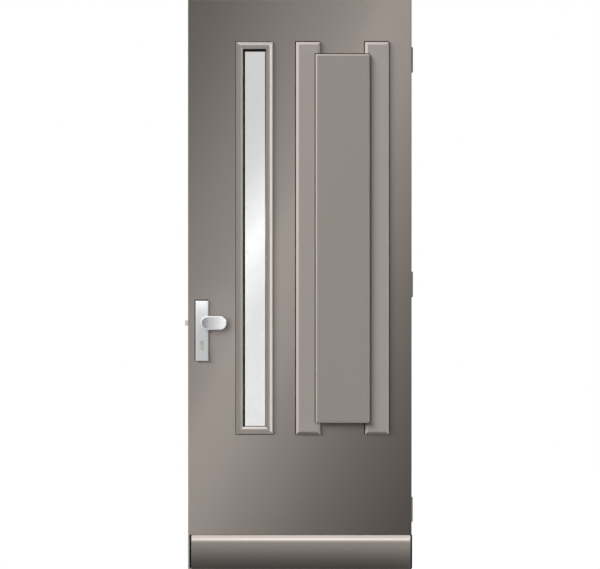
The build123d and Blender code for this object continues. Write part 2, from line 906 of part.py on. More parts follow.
def knob():
    """A fixed oblong knob: a pad with round ends, dished in front, on a cranked oval neck."""
    back = outer_plate_face - knob_standoff
    front = back - knob_thickness
    left = handle_x - knob_left_overhang
    centre = left + knob_length / 2
    outline = Pos(centre, handle_height) * SlotOverall(knob_length, knob_height)
    pad = along_y(outline, front, back)
    pad = fillet(pad.faces().sort_by(Axis.Y)[-1].edges(), knob_back_round)
    pad = fillet(pad.faces().sort_by(Axis.Y)[0].edges(), knob_rim_round)
    chord = knob_length / 2 - knob_rim_round
    dish_radius = (chord**2 + knob_dish_depth**2) / (2 * knob_dish_depth)
    dish_y = front + knob_dish_depth - dish_radius
    half_height = knob_height / 2
    pad -= round_z(dish_radius, centre, dish_y, handle_height - half_height, handle_height + half_height)
    neck_top_x = left + neck_top_inset + neck_top_width / 2
    neck = loft(
        [
            Plane.XZ.offset(-outer_plate_face)
            * Pos(handle_x, handle_height)
            * Ellipse(neck_base_width / 2, neck_base_height / 2),
            Plane.XZ.offset(-(back + knob_thickness / 3))
            * Pos(neck_top_x, handle_height)
            * Ellipse(neck_top_width / 2, neck_top_height / 2),
            Plane.XZ.offset(-(back - knob_thickness / 3))
            * Pos(neck_top_x, handle_height)
            * Ellipse(neck_top_width / 2, neck_top_height / 2),
        ],
        ruled=True,
    )
    return pad + neck - knob_screw(screw_clearance)


def inside_lever():
    """A lever on a round neck, with a tapering grip that points to the middle of the leaf."""
    seat = inner_plate_face - lever_neck_seat
    middle_y = inner_plate_face + lever_standoff
    neck = round_y(lever_neck_radius, handle_x, handle_height, seat, middle_y)

    def section(x, height, thickness):
        plane = Plane(origin=(x, middle_y, handle_height), x_dir=(0, 1, 0), z_dir=(1, 0, 0))
        return plane * RectangleRounded(thickness, height, lever_section_round * thickness)

    start = handle_x - lever_heel
    end = handle_x + lever_length
    grip = loft(
        [
            section(start, lever_root_height, lever_root_thickness),
            section(end, lever_tip_height, lever_tip_thickness),
        ],
        ruled=True,
    )
    for end_face in (grip.faces().sort_by(Axis.X)[0], grip.faces().sort_by(Axis.X)[-1]):
        grip = fillet(end_face.edges(), lever_end_round)
    return neck + grip - spindle(spindle_socket_clearance)


def write(name, shape):
    """Write one piece, or a group of like pieces, to its STEP file."""
    if isinstance(shape, list):
        shape = Compound(children=shape)
    export_step(shape, f"parts/{name}.step")


os.makedirs("parts", exist_ok=True)

# Jamb side of the hinges, which stays fixed
hinge_names = ("bottom", "middle", "top")
for hinge_name, hinge_z in zip(hinge_names, hinge_heights):
    write(f"hinge_jamb_plate_{hinge_name}", hinge_half(hinge_z, True))
    write(f"hinge_leaf_plate_{hinge_name}", hinge_half(hinge_z, False))
write("hinge_pins", hinge_pins())
write("hinge_screws", hinge_screws())

# Leaf
write("outer_skin", leaf_skin(True))
write("inner_skin", leaf_skin(False))
write("lock_stile", lock_stile())
write("hinge_stile", hinge_stile())
write("top_rail", rail(leaf_height - rail_height, leaf_height))
write("bottom_rail", rail(0, rail_height) - seal_groove())
for trimmer_name, trimmer in trimmers().items():
    write(trimmer_name, trimmer)
write("insulation_core", insulation_core())
write("bottom_seal", bottom_seal())
write("weather_bar", weather_bar())

# Glazed light
write("outer_pane", pane(-unit_half_depth, -cavity_depth / 2))
write("inner_pane", pane(cavity_depth / 2, unit_half_depth))
seal_ring = 2 * edge_seal_width
spacer_ring = seal_ring + 2 * spacer_width
write(
    "glass_edge_seal",
    ring(
        unit_width,
        unit_height,
        unit_width - seal_ring,
        unit_height - seal_ring,
        -cavity_depth / 2,
        cavity_depth / 2,
    ),
)
write(
    "glass_spacer",
    ring(
        unit_width - seal_ring,
        unit_height - seal_ring,
        unit_width - spacer_ring,
        unit_height - spacer_ring,
        -cavity_depth / 2,
        cavity_depth / 2,
    ),
)
write("outer_gasket", gasket(True))
write("inner_gasket", gasket(False))
write("setting_blocks", setting_blocks())
for side_name, member in moulding_members().items():
    write(f"outer_moulding_{side_name}", member)
    write(f"inner_moulding_{side_name}", mirror(member, about=Plane.XZ) - moulding_screws(screw_clearance))
write("moulding_screws", moulding_screws())

# Ornament
write("left_strip", strip(-1))
write("right_strip", strip(1))
write("centre_panel", centre_panel())

# Lock and its furniture
write("lock_faceplate", faceplate())
write("faceplate_screws", faceplate_screws())
write("lock_case", lock_case())
write("lock_case_cover", lock_case_cover())
write("latch_bolt", latch_bolt())
write("dead_bolt", dead_bolt())
write("lock_follower", lock_follower())
write("spindle", spindle())
write("cylinder_body", cylinder_body())
write("cylinder_plug_outer", cylinder_plug(True))
write("cylinder_plug_inner", cylinder_plug(False))
write("cylinder_cam", cylinder_cam())
write("cylinder_screw", cylinder_screw())
write("outer_backplate", backplate(True))
write("inner_backplate", backplate(False))
write("plate_bolts", plate_bolts())
write("knob", knob())
write("knob_screw", knob_screw())
write("inside_lever", inside_lever())
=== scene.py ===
import json
import math

import bmesh
import bpy
import numpy as np
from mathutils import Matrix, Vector


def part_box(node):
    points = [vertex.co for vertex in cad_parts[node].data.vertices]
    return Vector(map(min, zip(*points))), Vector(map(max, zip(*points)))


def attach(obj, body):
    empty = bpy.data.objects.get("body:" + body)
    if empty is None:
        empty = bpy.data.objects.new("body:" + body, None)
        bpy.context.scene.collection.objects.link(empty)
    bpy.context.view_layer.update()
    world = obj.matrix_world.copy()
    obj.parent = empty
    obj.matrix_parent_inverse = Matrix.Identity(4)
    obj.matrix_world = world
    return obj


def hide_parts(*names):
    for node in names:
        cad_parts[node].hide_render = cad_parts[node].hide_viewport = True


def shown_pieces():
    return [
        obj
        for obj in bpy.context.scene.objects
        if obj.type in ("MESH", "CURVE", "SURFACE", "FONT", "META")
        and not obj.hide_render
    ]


# Glazed front door leaf. +X is to the right as seen from outside, -Y is outside, +Z is up, in metres.
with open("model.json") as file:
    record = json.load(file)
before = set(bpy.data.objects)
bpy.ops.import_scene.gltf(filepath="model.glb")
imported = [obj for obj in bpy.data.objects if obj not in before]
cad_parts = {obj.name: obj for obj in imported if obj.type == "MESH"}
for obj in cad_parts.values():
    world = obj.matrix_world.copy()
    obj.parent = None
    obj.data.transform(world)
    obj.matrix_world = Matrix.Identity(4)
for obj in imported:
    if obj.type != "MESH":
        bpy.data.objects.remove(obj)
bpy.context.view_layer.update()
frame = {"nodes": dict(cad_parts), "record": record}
nodes = frame["nodes"]

MM = 0.001

# Smaller than any size here: it keeps a division away from zero
TINY = 1e-9

# Points nearer to each other than this are one point
WELD = 0.002 * MM

# Faces that meet at less than this are shaded as one
SMOOTH_ANGLE = math.radians(40)

# Colours, as sRGB
TAUPE_SKIN = "8A827C"
TAUPE_STRIP = "938B86"
TAUPE_PANEL = "857E78"
TAUPE_TRIM = "8C857F"
TAUPE_EDGE = "7F7872"
TAUPE_EDGE_GRAIN = "77706A"
SOFTWOOD = "C49A66"
SOFTWOOD_GRAIN = "A67C4B"
FOAM_CREAM = "D9CBA0"
GLASS_GREY = "E5E5E5"
MILL_ALUMINIUM = "B9BBBE"
RUBBER_BLACK = "242422"
BLOCK_BLUE = "3D6A9C"
ZINC = "C3C2BC"
STAINLESS = "B5B3B0"
ANODISED_ALUMINIUM = "C9C9CA"
POLISHED_ALUMINIUM = "E4E4E4"
NICKEL = "BDBCB8"
FACEPLATE_GREY = "B9B8B5"
TUMBLED_ZINC = "A9A8A4"
# Painted shade: the dark of the lines laid along the joints, where the relief throws shade
SHADE_LINE_DARK = "2E2A27"


def srgb(code):
    """A colour written as sRGB hex, turned to the linear values that a shader takes."""
    values = [int(code[i : i + 2], 16) / 255 for i in (0, 2, 4)]
    linear = [v / 12.92 if v <= 0.04045 else ((v + 0.055) / 1.055) ** 2.4 for v in values]
    return (*linear, 1.0)


# Outlines and grids


def eased_path(corners, closed=False, steps=4):
    """Points along straight runs with each corner turned to an arc. Corners are (a, b, radius).

    With unit directions p and q to the neighbours of corner P, and h half the angle between them,
    the arc of radius r is about P + r (p + q) / (|p + q| sin h), between P + (r / tan h) p and
    P + (r / tan h) q.
    """
    spots = np.array([corner[:2] for corner in corners], float)
    parts = []
    for i, corner in enumerate(corners):
        spot, radius = spots[i], corner[2]
        if radius == 0 or (not closed and i in (0, len(corners) - 1)):
            parts.append(spot[None])
            continue
        before = spots[i - 1] - spot
        after = spots[(i + 1) % len(corners)] - spot
        p = before / np.hypot(*before)
        q = after / np.hypot(*after)
        half = math.acos(np.clip(p @ q, -1, 1)) / 2
        centre = spot + (p + q) / np.hypot(*(p + q)) * radius / math.sin(half)
        start = spot + p * radius / math.tan(half) - centre
        end = spot + q * radius / math.tan(half) - centre
        t = np.linspace(0, 1, steps + 1)[:, None]
        sweep = math.pi - 2 * half
        arc = np.sin((1 - t) * sweep) * start + np.sin(t * sweep) * end
        parts.append(centre + arc / math.sin(sweep))
    return np.concatenate(parts)


def shell(grid, wrap_rows=False):
    """Points, quads and caps of a grid whose columns wrap round.

    Its rows either wrap round too, or its first and last rows are closed by caps.
    """
    rows, columns = grid.shape[:2]
    index = np.arange(rows * columns).reshape(rows, columns)
    caps = [] if wrap_rows else [index[0, ::-1].tolist(), index[-1].tolist()]
    if wrap_rows:
        index = np.vstack([index, index[:1]])
    index = np.hstack([index, index[:, :1]])
    quads = np.stack([index[:-1, :-1], index[:-1, 1:], index[1:, 1:], index[1:, :-1]], -1)
    return grid.reshape(-1, 3), quads.reshape(-1, 4), caps


def piece(name, shells, body, material, replaced=()):
    """One object from closed shells, with its doubles merged and its faces turned outwards."""
    points = np.concatenate([spots for spots, quads, caps in shells])
    bases = np.cumsum([0] + [len(spots) for spots, quads, caps in shells[:-1]])
    faces = np.concatenate([quads + base for (spots, quads, caps), base in zip(shells, bases)]).tolist()
    for (spots, quads, caps), base in zip(shells, bases):
        faces += [(np.array(cap) + base).tolist() for cap in caps]
    mesh = bpy.data.meshes.new(name)
    mesh.from_pydata(points.tolist(), [], faces)
    work = bmesh.new()
    work.from_mesh(mesh)
    bmesh.ops.remove_doubles(work, verts=work.verts, dist=WELD)
    bmesh.ops.recalc_face_normals(work, faces=work.faces)
    work.to_mesh(mesh)
    work.free()
    mesh.polygons.foreach_set("use_smooth", np.ones(len(mesh.polygons), bool))
    mesh.set_sharp_from_angle(angle=SMOOTH_ANGLE)
    mesh.materials.append(material)
    made = bpy.data.objects.new(name, mesh)
    bpy.context.scene.collection.objects.link(made)
    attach(made, body)
    if replaced:
        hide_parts(*replaced)
    return made


def rings(centre_x, centre_z, half_width, half_height, rows, corner=0.0):
    """Nested rectangles in X and Z. Row (inset, y) is the rectangle shrunk by inset, at depth y."""
    grid = []
    for inset, y in rows:
        a, b = half_width - inset, half_height - inset
        outline = eased_path(
            [(-a, -b, corner), (a, -b, corner), (a, b, corner), (-a, b, corner)], closed=True, steps=3
        )
        depth = np.full(len(outline), y)
        grid.append(np.column_stack([centre_x + outline[:, 0], depth, centre_z + outline[:, 1]]))
    return np.array(grid)


def corner_ring(left, right, low, high, y):
    """The four corners of an upright rectangle at depth y."""
    return np.array([(left, y, low), (right, y, low), (right, y, high), (left, y, high)])


# Materials


def add_node(tree, kind, settings=None, inputs=None):
    """Add a node. Settings are its properties; inputs are values, or (node, output) pairs to link."""
    made = tree.nodes.new(kind)
    for name, value in (settings or {}).items():
        setattr(made, name, value)
    for name, value in (inputs or {}).items():
        if isinstance(value, tuple) and isinstance(value[0], bpy.types.Node):
            tree.links.new(value[0].outputs[value[1]], made.inputs[name])
        else:
            made.inputs[name].default_value = value
    return made


def surface(name, inputs):
    """A material with one Principled surface. Returns the material, its tree and the shader."""
    made = bpy.data.materials.new(name)
    made.use_nodes = True
    tree = made.node_tree
    tree.nodes.clear()
    shader = add_node(tree, "ShaderNodeBsdfPrincipled", inputs=inputs)
    add_node(tree, "ShaderNodeOutputMaterial", inputs={"Surface": (shader, "BSDF")})
    return made, tree, shader


def stretched_noise(tree, scale, stretch=(1, 1, 1), detail=3.0):
    """Noise on Object coordinates: scale cells to a metre, fewer along an axis with stretch below 1."""
    where = add_node(tree, "ShaderNodeTexCoord")
    fitted = add_node(
        tree, "ShaderNodeMapping", inputs={"Vector": (where, "Object"), "Scale": stretch}
    )
    return add_node(
        tree,
        "ShaderNodeTexNoise",
        inputs={"Vector": (fitted, "Vector"), "Scale": scale, "Detail": detail, "Roughness": 0.55},
    )


def vary(tree, shader, source, socket, low, high):
    """Drive a colour or roughness socket from low to high, as a noise node goes from 0.3 to 0.7."""
    ramp = add_node(tree, "ShaderNodeValToRGB", inputs={"Fac": (source, "Fac")})
    for element, place, value in zip(ramp.color_ramp.elements, (0.3, 0.7), (low, high)):
        element.position = place
        element.color = value if isinstance(value, tuple) else (value, value, value, 1.0)
    tree.links.new(ramp.outputs["Color"], shader.inputs[socket])


def shaded(colour, factor):
    """A colour made darker or lighter by a factor."""
    return (*[min(1.0, c * factor) for c in colour[:3]], 1.0)


def relief(tree, shader, source, depth):
    """Bump from a noise node, depth metres high."""
    bump = add_node(
        tree,
        "ShaderNodeBump",
        inputs={"Height": (source, "Fac"), "Distance": depth, "Strength": 1.0},
    )
    tree.links.new(bump.outputs["Normal"], shader.inputs["Normal"])


def paint(name, code, roughness, peel_depth, gloss=0.3):
    """Two-coat paint, sprayed and cured: one even colour with the faint orange peel of spray.

    Real peel is 1 to 3 mm across, finer than a pixel of the render, so it is drawn at 7 mm. The
    colour drifts by 0.8 % over cells a third of a metre across.
    """
    peel_size = 7 * MM
    drift_size = 1000 * MM / 3
    drift_share = 0.008
    colour = srgb(code)
    darker, lighter = shaded(colour, 1 - drift_share), shaded(colour, 1 + drift_share)
    made, tree, shader = surface(name, {"Roughness": roughness, "IOR": 1.5, "Specular IOR Level": gloss})
    drift = stretched_noise(tree, 1 / drift_size, detail=1.0)
    vary(tree, shader, drift, "Base Color", darker, lighter)
    peel = stretched_noise(tree, 1 / peel_size)
    relief(tree, shader, peel, peel_depth)
    return made


def timber(name, code, grain_code, roughness, grain_depth):
    """Planed softwood, with grain that runs up the piece: lines 3 mm apart, drawn out 20 times."""
    grain_size = 3 * MM
    grain_stretch = (1, 1, 1 / 20)
    made, tree, shader = surface(name, {"Roughness": roughness, "IOR": 1.5})
    grain = stretched_noise(tree, 1 / grain_size, grain_stretch, detail=4.0)
    vary(tree, shader, grain, "Base Color", srgb(grain_code), srgb(code))
    relief(tree, shader, grain, grain_depth)
    return made


def brushed_metal(name, code, roughness):
    """Metal brushed up and down with abrasive: lines, drawn out 50 times, that vary tone and roughness.

    Real brush lines are about 0.1 mm apart; they are drawn 0.9 mm apart so that some show.
    """
    line_size = 0.9 * MM
    line_stretch = (1, 1, 1 / 50)
    line_depth = 0.012 * MM
    colour = srgb(code)
    darker, lighter = shaded(colour, 0.93), shaded(colour, 1.04)
    rougher, smoother = roughness + 0.05, roughness - 0.04
    made, tree, shader = surface(name, {"Metallic": 1.0})
    lines = stretched_noise(tree, 1 / line_size, line_stretch, detail=4.0)
    vary(tree, shader, lines, "Base Color", darker, lighter)
    vary(tree, shader, lines, "Roughness", rougher, smoother)
    relief(tree, shader, lines, line_depth)
    return made


def plain_solid(name, code, roughness, grain, depth, metallic=0.0, gloss=0.5):
    """A cast, moulded, plated or extruded surface: one colour, with a fine even speckle of 6 %.

    Real crystals and mould texture are 0.05 to 0.5 mm across, too fine to show, so they are drawn at
    1 to 2 mm.
    """
    speckle_share = 0.06
    colour = srgb(code)
    darker, lighter = shaded(colour, 1 - speckle_share), shaded(colour, 1 + speckle_share)
    made, tree, shader = surface(
        name, {"Roughness": roughness, "Metallic": metallic, "Specular IOR Level": gloss}
    )
    speckle = stretched_noise(tree, 1 / grain)
    vary(tree, shader, speckle, "Base Color", darker, lighter)
    relief(tree, shader, speckle, depth)
    return made


def float_glass():
    """Lightly grey float glass, whose tint is only seen through its thickness."""
    inputs = {"Base Color": srgb(GLASS_GREY), "Roughness": 0.0, "IOR": 1.52, "Transmission Weight": 1.0}
    return surface("float_glass", inputs)[0]


# Sprayed satin paint on smooth board: an even taupe, with a broad soft sheen
satin_skin_paint = paint("satin_taupe_paint_on_board", TAUPE_SKIN, 0.42, 0.006 * MM)

# Sprayed matt paint on routed board: no highlight on the flats, so the bevels read by light and shade
strip_paint = paint("matt_taupe_paint_on_strips", TAUPE_STRIP, 0.6, 0.003 * MM, gloss=0.4)

# The same matt paint a shade darker, so that the lapped panel stands apart from its strips
panel_paint = paint("matt_taupe_paint_on_panel", TAUPE_PANEL, 0.6, 0.003 * MM, gloss=0.35)

# Semi-gloss paint on planed timber: narrow highlights that run along the curves of moulding and bar
trim_paint = paint("semi_gloss_taupe_paint_on_timber", TAUPE_TRIM, 0.42, 0.0006 * MM)

# Thin paint on laminated timber: the grain shows through as faint upright lines
edge_paint = timber("taupe_paint_on_laminated_timber", TAUPE_EDGE, TAUPE_EDGE_GRAIN, 0.5, 0.02 * MM)

# Planed softwood: pale, with darker growth lines
bare_timber = timber("planed_softwood", SOFTWOOD, SOFTWOOD_GRAIN, 0.6, 0.03 * MM)

# Cut rigid foam: chalky and dull, with open cells along the cut
foam = plain_solid("cut_insulation_foam", FOAM_CREAM, 0.9, 1.5 * MM, 0.2 * MM)

# Glass floated flat: clear, and perfectly sharp in its reflections
glass = float_glass()

# Aluminium as it leaves the mill: dull silver, faintly mottled
spacer = plain_solid("mill_finish_aluminium", MILL_ALUMINIUM, 0.4, 2 * MM, 0.005 * MM, metallic=1.0)

# Extruded rubber: near black and almost without shine, so it reads as a line of shade
rubber = plain_solid("extruded_black_rubber", RUBBER_BLACK, 0.85, 1 * MM, 0.01 * MM, gloss=0.12)

# Moulded plastic: one flat blue with a slight shine
block_plastic = plain_solid("moulded_blue_plastic", BLOCK_BLUE, 0.5, 2 * MM, 0.02 * MM)

# Bright zinc on steel: pale and rather shiny, so small heads catch the light
zinc_steel = plain_solid("bright_zinc_plated_steel", ZINC, 0.3, 1 * MM, 0.004 * MM, metallic=1.0)

# Stainless steel, satin brushed: grey upright lines, with highlights that spread across them
hinge_steel = brushed_metal("satin_brushed_stainless_steel", STAINLESS, 0.34)

# Aluminium, brushed and then anodised clear: a pale even grey with fine upright lines
aluminium = brushed_metal("brushed_and_anodised_aluminium", ANODISED_ALUMINIUM, 0.3)

# Aluminium, polished and then anodised: brighter and smoother, so the knob's dish mirrors the room softly
knob_aluminium = plain_solid(
    "polished_anodised_aluminium", POLISHED_ALUMINIUM, 0.2, 2 * MM, 0.0004 * MM, metallic=1.0
)

# Brass under satin nickel: a slightly warm grey, soft in its reflections
nickel = plain_solid("satin_nickel_plated_brass", NICKEL, 0.3, 1 * MM, 0.003 * MM, metallic=1.0)

# Steel strip, satin brushed along its length: a little lighter than the hinges, with the same lines
faceplate_steel = brushed_metal("satin_brushed_faceplate_steel", FACEPLATE_GREY, 0.33)

# Zinc-plated steel parts, tumbled together: dull grey, with no direction to their marks
lock_steel = plain_solid("tumbled_zinc_plated_steel", TUMBLED_ZINC, 0.4, 1.5 * MM, 0.006 * MM, metallic=1.0)

# Painted shade: dark, dull beads laid where two parts meet, standing for the shade that falls there
shade_line_paint = plain_solid("painted_shade_along_the_joints", SHADE_LINE_DARK, 0.8, 2 * MM, 0.005 * MM, gloss=0.15)

finishes = {
    "satin_painted_board": satin_skin_paint,
    "matt_painted_board": strip_paint,
    "painted_timber": trim_paint,
    "painted_edge_timber": edge_paint,
    "bare_timber": bare_timber,
    "insulation_foam": foam,
    "clear_glass": glass,
    "spacer_aluminium": spacer,
    "seal_rubber": rubber,
    "block_plastic": block_plastic,
    "zinc_plated_steel": zinc_steel,
    "satin_hinge_steel": hinge_steel,
    "brushed_aluminium": aluminium,
    "nickel_plated_brass": nickel,
    "faceplate_steel": faceplate_steel,
    "lock_steel": lock_steel,
}
for part in frame["record"]["subparts"]:
    materials = nodes[part["node"]].data.materials
    materials.clear()
    materials.append(finishes[part["material_slot"]])


# Glazing mouldings

leaf_low, leaf_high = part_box("outer_skin")
leaf_face = leaf_low.y
strip_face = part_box("left_strip")[0].y

# The moulding frame's box, and how far in from the solids its top and foot lie in the photograph
MOULDING_TOP_SET_IN = 1.4 * MM
MOULDING_FOOT_SET_IN = 1.6 * MM
moulding_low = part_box("outer_moulding_left")[0]
moulding_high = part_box("outer_moulding_right")[1]


def member_section():
    """A moulding's section: inward distance from its outer edge, and height above the skin.

    Outside it rises as an ogee, edge + (proud - edge) (1 - cos(pi t)) / 2 for t from 0 to 1, then a
    flat and a slope to the glass, with eased edges.
    """
    proud = 12 * MM
    edge = 3 * MM
    toe = 1.5 * MM
    rise_width = 13 * MM
    width = 26.5 * MM
    slope_width = 8 * MM
    slope_drop = 6 * MM
    depth = 12 * MM
    lap = 14 * MM
    ease = 0.6 * MM
    t = np.linspace(0, 1, 17)[:, None]
    ogee = np.hstack([toe + rise_width * t, edge + (proud - edge) * (1 - np.cos(math.pi * t)) / 2])
    rest = eased_path(
        [
            (toe + rise_width, proud, 0),
            (width - slope_width, proud, 1.5 * ease),
            (width, proud - slope_drop, ease),
            (width, -depth, 0.3 * ease),
            (lap, -depth, 0.3 * ease),
            (lap, 0, 0),
            (0, 0, 0),
            (0, edge, 0.3 * ease),
            (toe, edge, 0),
        ]
    )
    return np.vstack([ogee, rest[1:-1]])


def moulding_member(side, outward):
    """One mitred member: its section at both ends, each point cut back by its inward distance."""
    low_x, high_x = moulding_low.x, moulding_high.x
    low_z, high_z = moulding_low.z + MOULDING_FOOT_SET_IN, moulding_high.z - MOULDING_TOP_SET_IN
    face = leaf_face if outward < 0 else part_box("inner_skin")[1].y
    mitre_gap = 0.08 * MM
    stations = 41
    inward, height = member_section().T
    y = face + outward * height
    back = inward + mitre_gap
    ends = []
    for at_low_end in (True, False):
        if side in ("left", "right"):
            x = low_x + inward if side == "left" else high_x - inward
            z = low_z + back if at_low_end else high_z - back
        else:
            z = low_z + inward if side == "bottom" else high_z - inward
            x = low_x + back if at_low_end else high_x - back
        ends.append(np.column_stack([x, y, z]))
    share = np.linspace(0, 1, stations)[:, None, None]
    return shell((1 - share) * ends[0] + share * ends[1])


for facing, outward in (("outer", -1), ("inner", 1)):
    for side in ("left", "right", "top", "bottom"):
        piece(
            f"{facing}_{side}_glazing_moulding",
            [moulding_member(side, outward)],
            "leaf",
            trim_paint,
            [f"{facing}_moulding_{side}"],
        )


def gasket():
    """The glazing gasket's visible lip. It is deeper at the left and the top, as painted shade: its black
    stands for the shade that the moulding throws on the glass.

    Its section is rows (out, share, y): out under the moulding, or share of the lip's own depth in.
    """
    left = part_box("outer_moulding_left")[1].x
    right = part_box("outer_moulding_right")[0].x
    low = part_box("outer_moulding_bottom")[1].z + MOULDING_FOOT_SET_IN
    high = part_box("outer_moulding_top")[0].z - MOULDING_TOP_SET_IN
    front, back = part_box("outer_gasket")
    tuck = 12 * MM
    # Painted shade: the black lip is drawn wide at the left and the top, and thin at the right and the foot
    left_shade_lip = 7.2 * MM
    top_shade_lip = 9.6 * MM
    thin_lip = 0.4 * MM
    ease = 0.8 * MM
    section = [
        (tuck, 0, back.y),
        (tuck, 0, front.y),
        (0, 0.8, front.y),
        (0, 1, front.y + ease),
        (0, 1, back.y),
    ]
    rows = []
    for out, share, y in section:
        ring_left = left - out + left_shade_lip * share
        ring_right = right + out - thin_lip * share
        ring_low = low - out + thin_lip * share
        ring_high = high + out - top_shade_lip * share
        rows.append(corner_ring(ring_left, ring_right, ring_low, ring_high, y))
    return shell(np.array(rows), wrap_rows=True)


# Strips and panel

# How far a board's bevel reaches in from its sides, and how far it falls
STRIP_BEVEL = (10 * MM, 8 * MM)
PANEL_BEVEL = (5.5 * MM, 4.5 * MM)


def board(low, high, bevel_width, bevel_drop):
    """A board with a straight edge, a bevel all round and eased arrises, as nested rectangles."""
    ease = 0.8 * MM
    corner_radius = 0.4 * MM
    flat_margin = 6 * MM
    rows = eased_path(
        [
            (0, high.y, 0),
            (0, low.y + bevel_drop, ease),
            (bevel_width, low.y, ease),
            (bevel_width + flat_margin, low.y, 0),
        ]
    )
    centre = (low + high) / 2
    half = (high - low) / 2
    return shell(rings(centre.x, centre.z, half.x, half.z, rows, corner=corner_radius))


def set_in(low, high, left, top, right=0.0):
    """The same box with its left, top and right sides set in, or out where the value is negative."""
    return Vector((low.x + left, low.y, low.z)), Vector((high.x - right, high.y, high.z - top))


# The boards leave room for the painted shade lines at their left and top, and are a little wider at their
# right
STRIP_BOXES = {
    "left_strip": set_in(*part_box("left_strip"), 1 * MM, 2.5 * MM, -2 * MM),
    "right_strip": set_in(*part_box("right_strip"), 3 * MM, 2.5 * MM, -1.5 * MM),
}
PANEL_BOX = set_in(*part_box("centre_panel"), 1.6 * MM, 4.4 * MM, -1.5 * MM)
for strip, strip_box in STRIP_BOXES.items():
    piece(
        f"bevelled_{strip}",
        [board(*strip_box, *STRIP_BEVEL)],
        "leaf",
        strip_paint,
        [strip],
    )


def centre_panel():
    """The lapped panel: the bevelled board in front, and behind it the block between the strips."""
    low, high = PANEL_BOX
    gap = 1 * MM
    seat = 0.5 * MM
    left = STRIP_BOXES["left_strip"][1].x + gap
    right = STRIP_BOXES["right_strip"][0].x - gap
    front = board(low, Vector((high.x, strip_face, high.z)), *PANEL_BEVEL)
    rows = [(0, high.y), (0, strip_face - seat)]
    centre_z, half_z = (low.z + high.z) / 2, (high.z - low.z) / 2
    block = shell(rings((left + right) / 2, centre_z, (right - left) / 2, half_z, rows))
    return [front, block]


piece("lapped_centre_panel", centre_panel(), "leaf", panel_paint, ["centre_panel"])


# Weather bar


def weather_bar():
    """The bar's section in Y and Z, carried along X: a rounded top, a belly and a drip groove.

    The belly is an arc of radius r from the nose, r (1 - cos t) back and r sin t down. The section
    draws in by e (1 - sin a) at e (1 - cos a) from each end, where it rounds off.
    """
    low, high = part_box("weather_bar")
    face = high.y
    nose = low.y
    nose_z = 94 * MM
    top_slope = 9 * MM
    top_radius = 20 * MM
    foot = face - 24 * MM
    groove_front = face - 15 * MM
    groove_back = face - 10 * MM
    groove_top = low.z + 4 * MM
    ease = 3 * MM
    drop, back = nose_z - low.z, foot - nose
    arc_radius = (drop**2 + back**2) / (2 * back)
    t = np.linspace(0, 1, 15)[:, None] * math.asin(drop / arc_radius)
    belly = np.hstack([nose + arc_radius * (1 - np.cos(t)), nose_z - arc_radius * np.sin(t)])
    top = eased_path(
        [(face, high.z, 0), (nose, high.z - top_slope, top_radius), (nose, nose_z, 0)], steps=16
    )
    under = np.array(
        [
            (groove_front, low.z),
            (groove_front, groove_top),
            (groove_back, groove_top),
            (groove_back, low.z),
            (face, low.z),
        ]
    )
    section = np.vstack([top, belly[1:], under])
    along = np.roll(section, -1, 0) - np.roll(section, 1, 0)
    normal = np.column_stack([-along[:, 1], along[:, 0]]) / np.hypot(*along.T)[:, None]
    normal *= -1 if normal[len(top) // 2, 0] > 0 else 1
    quarter = np.linspace(0, math.pi / 2, 6)
    rows = []
    for end, inward, angles in ((low.x, 1, quarter), (high.x, -1, quarter[::-1])):
        for angle in angles:
            x = end + inward * ease * (1 - math.cos(angle))
            moved = section - normal * ease * (1 - math.sin(angle))
            moved[:, 0] = np.minimum(moved[:, 0], face)
            moved[:, 1] = np.clip(moved[:, 1], low.z, high.z)
            rows.append(np.column_stack([np.full(len(moved), x), moved]))
    return shell(np.array(rows))


piece("weather_bar_at_the_foot", [weather_bar()], "leaf", trim_paint, ["weather_bar"])


# Painted shade lines along the joints

BEAD_HEIGHT = 0.7 * MM


def bead(spots, face, width, closed=False):
    """A dark bead of painted shade along a run of spots (x, z, out x, out z), half an ellipse in section.

    For t from 0 to pi it lies out times width (1 - cos t) / 2 from the spot, and BEAD_HEIGHT sin t
    above the face.
    """
    t = np.linspace(0, math.pi, 7)
    out = width * (1 - np.cos(t)) / 2
    y = face - BEAD_HEIGHT * np.sin(t)
    rows = [np.column_stack([x + out_x * out, y, z + out_z * out]) for x, z, out_x, out_z in spots]
    return shell(np.array(rows), wrap_rows=closed)


def left_and_top(low, high):
    """Spots for a bead of painted shade along a box's left and top sides, where the shade is drawn widest."""
    return [(low.x, low.z, -1, 0), (low.x, high.z, -1, 1), (high.x, high.z, 0, 1)]


def bar_spots():
    """Spots for a bead of painted shade all round the weather bar. It is six times as wide at the bar's two
    ends, where it stands for the shade beside them.
    """
    low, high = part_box("weather_bar")
    low_z = low.z + 2 * MM
    end = 6
    return [
        (low.x, low_z, -end, -1),
        (high.x, low_z, end, -1),
        (high.x, high.z, end, 1),
        (low.x, high.z, -end, 1),
    ]


right_strip_low, right_strip_high = STRIP_BOXES["right_strip"]
right_strip_side = [(right_strip_high.x, z, 1, 0) for z in (right_strip_low.z, right_strip_high.z)]
moulding_foot = [(x, moulding_low.z + MOULDING_FOOT_SET_IN, 0, -1) for x in (moulding_low.x, moulding_high.x)]
moulding_box = set_in(moulding_low, moulding_high, 0, MOULDING_TOP_SET_IN)
shade_lines = [bead(left_and_top(*strip_box), leaf_face, 3.8 * MM) for strip_box in STRIP_BOXES.values()]
shade_lines += [
    bead(left_and_top(*PANEL_BOX), strip_face, 3.4 * MM),
    bead(right_strip_side, leaf_face, 2.4 * MM),
    bead(moulding_foot, leaf_face, 2.2 * MM),
    bead(left_and_top(*moulding_box), leaf_face, 2 * MM),
    bead(left_and_top(*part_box("outer_backplate")), leaf_face, 4 * MM),
    bead(bar_spots(), leaf_face, 1.2 * MM, closed=True),
]
# Painted shade: dark beads round the boards, the mouldings, the plate and the bar
piece("painted_shade_line_round_the_boards", shade_lines, "leaf", shade_line_paint)
piece("outer_glazing_gasket", [gasket()], "leaf", rubber, ["outer_gasket"])


# Lock furniture

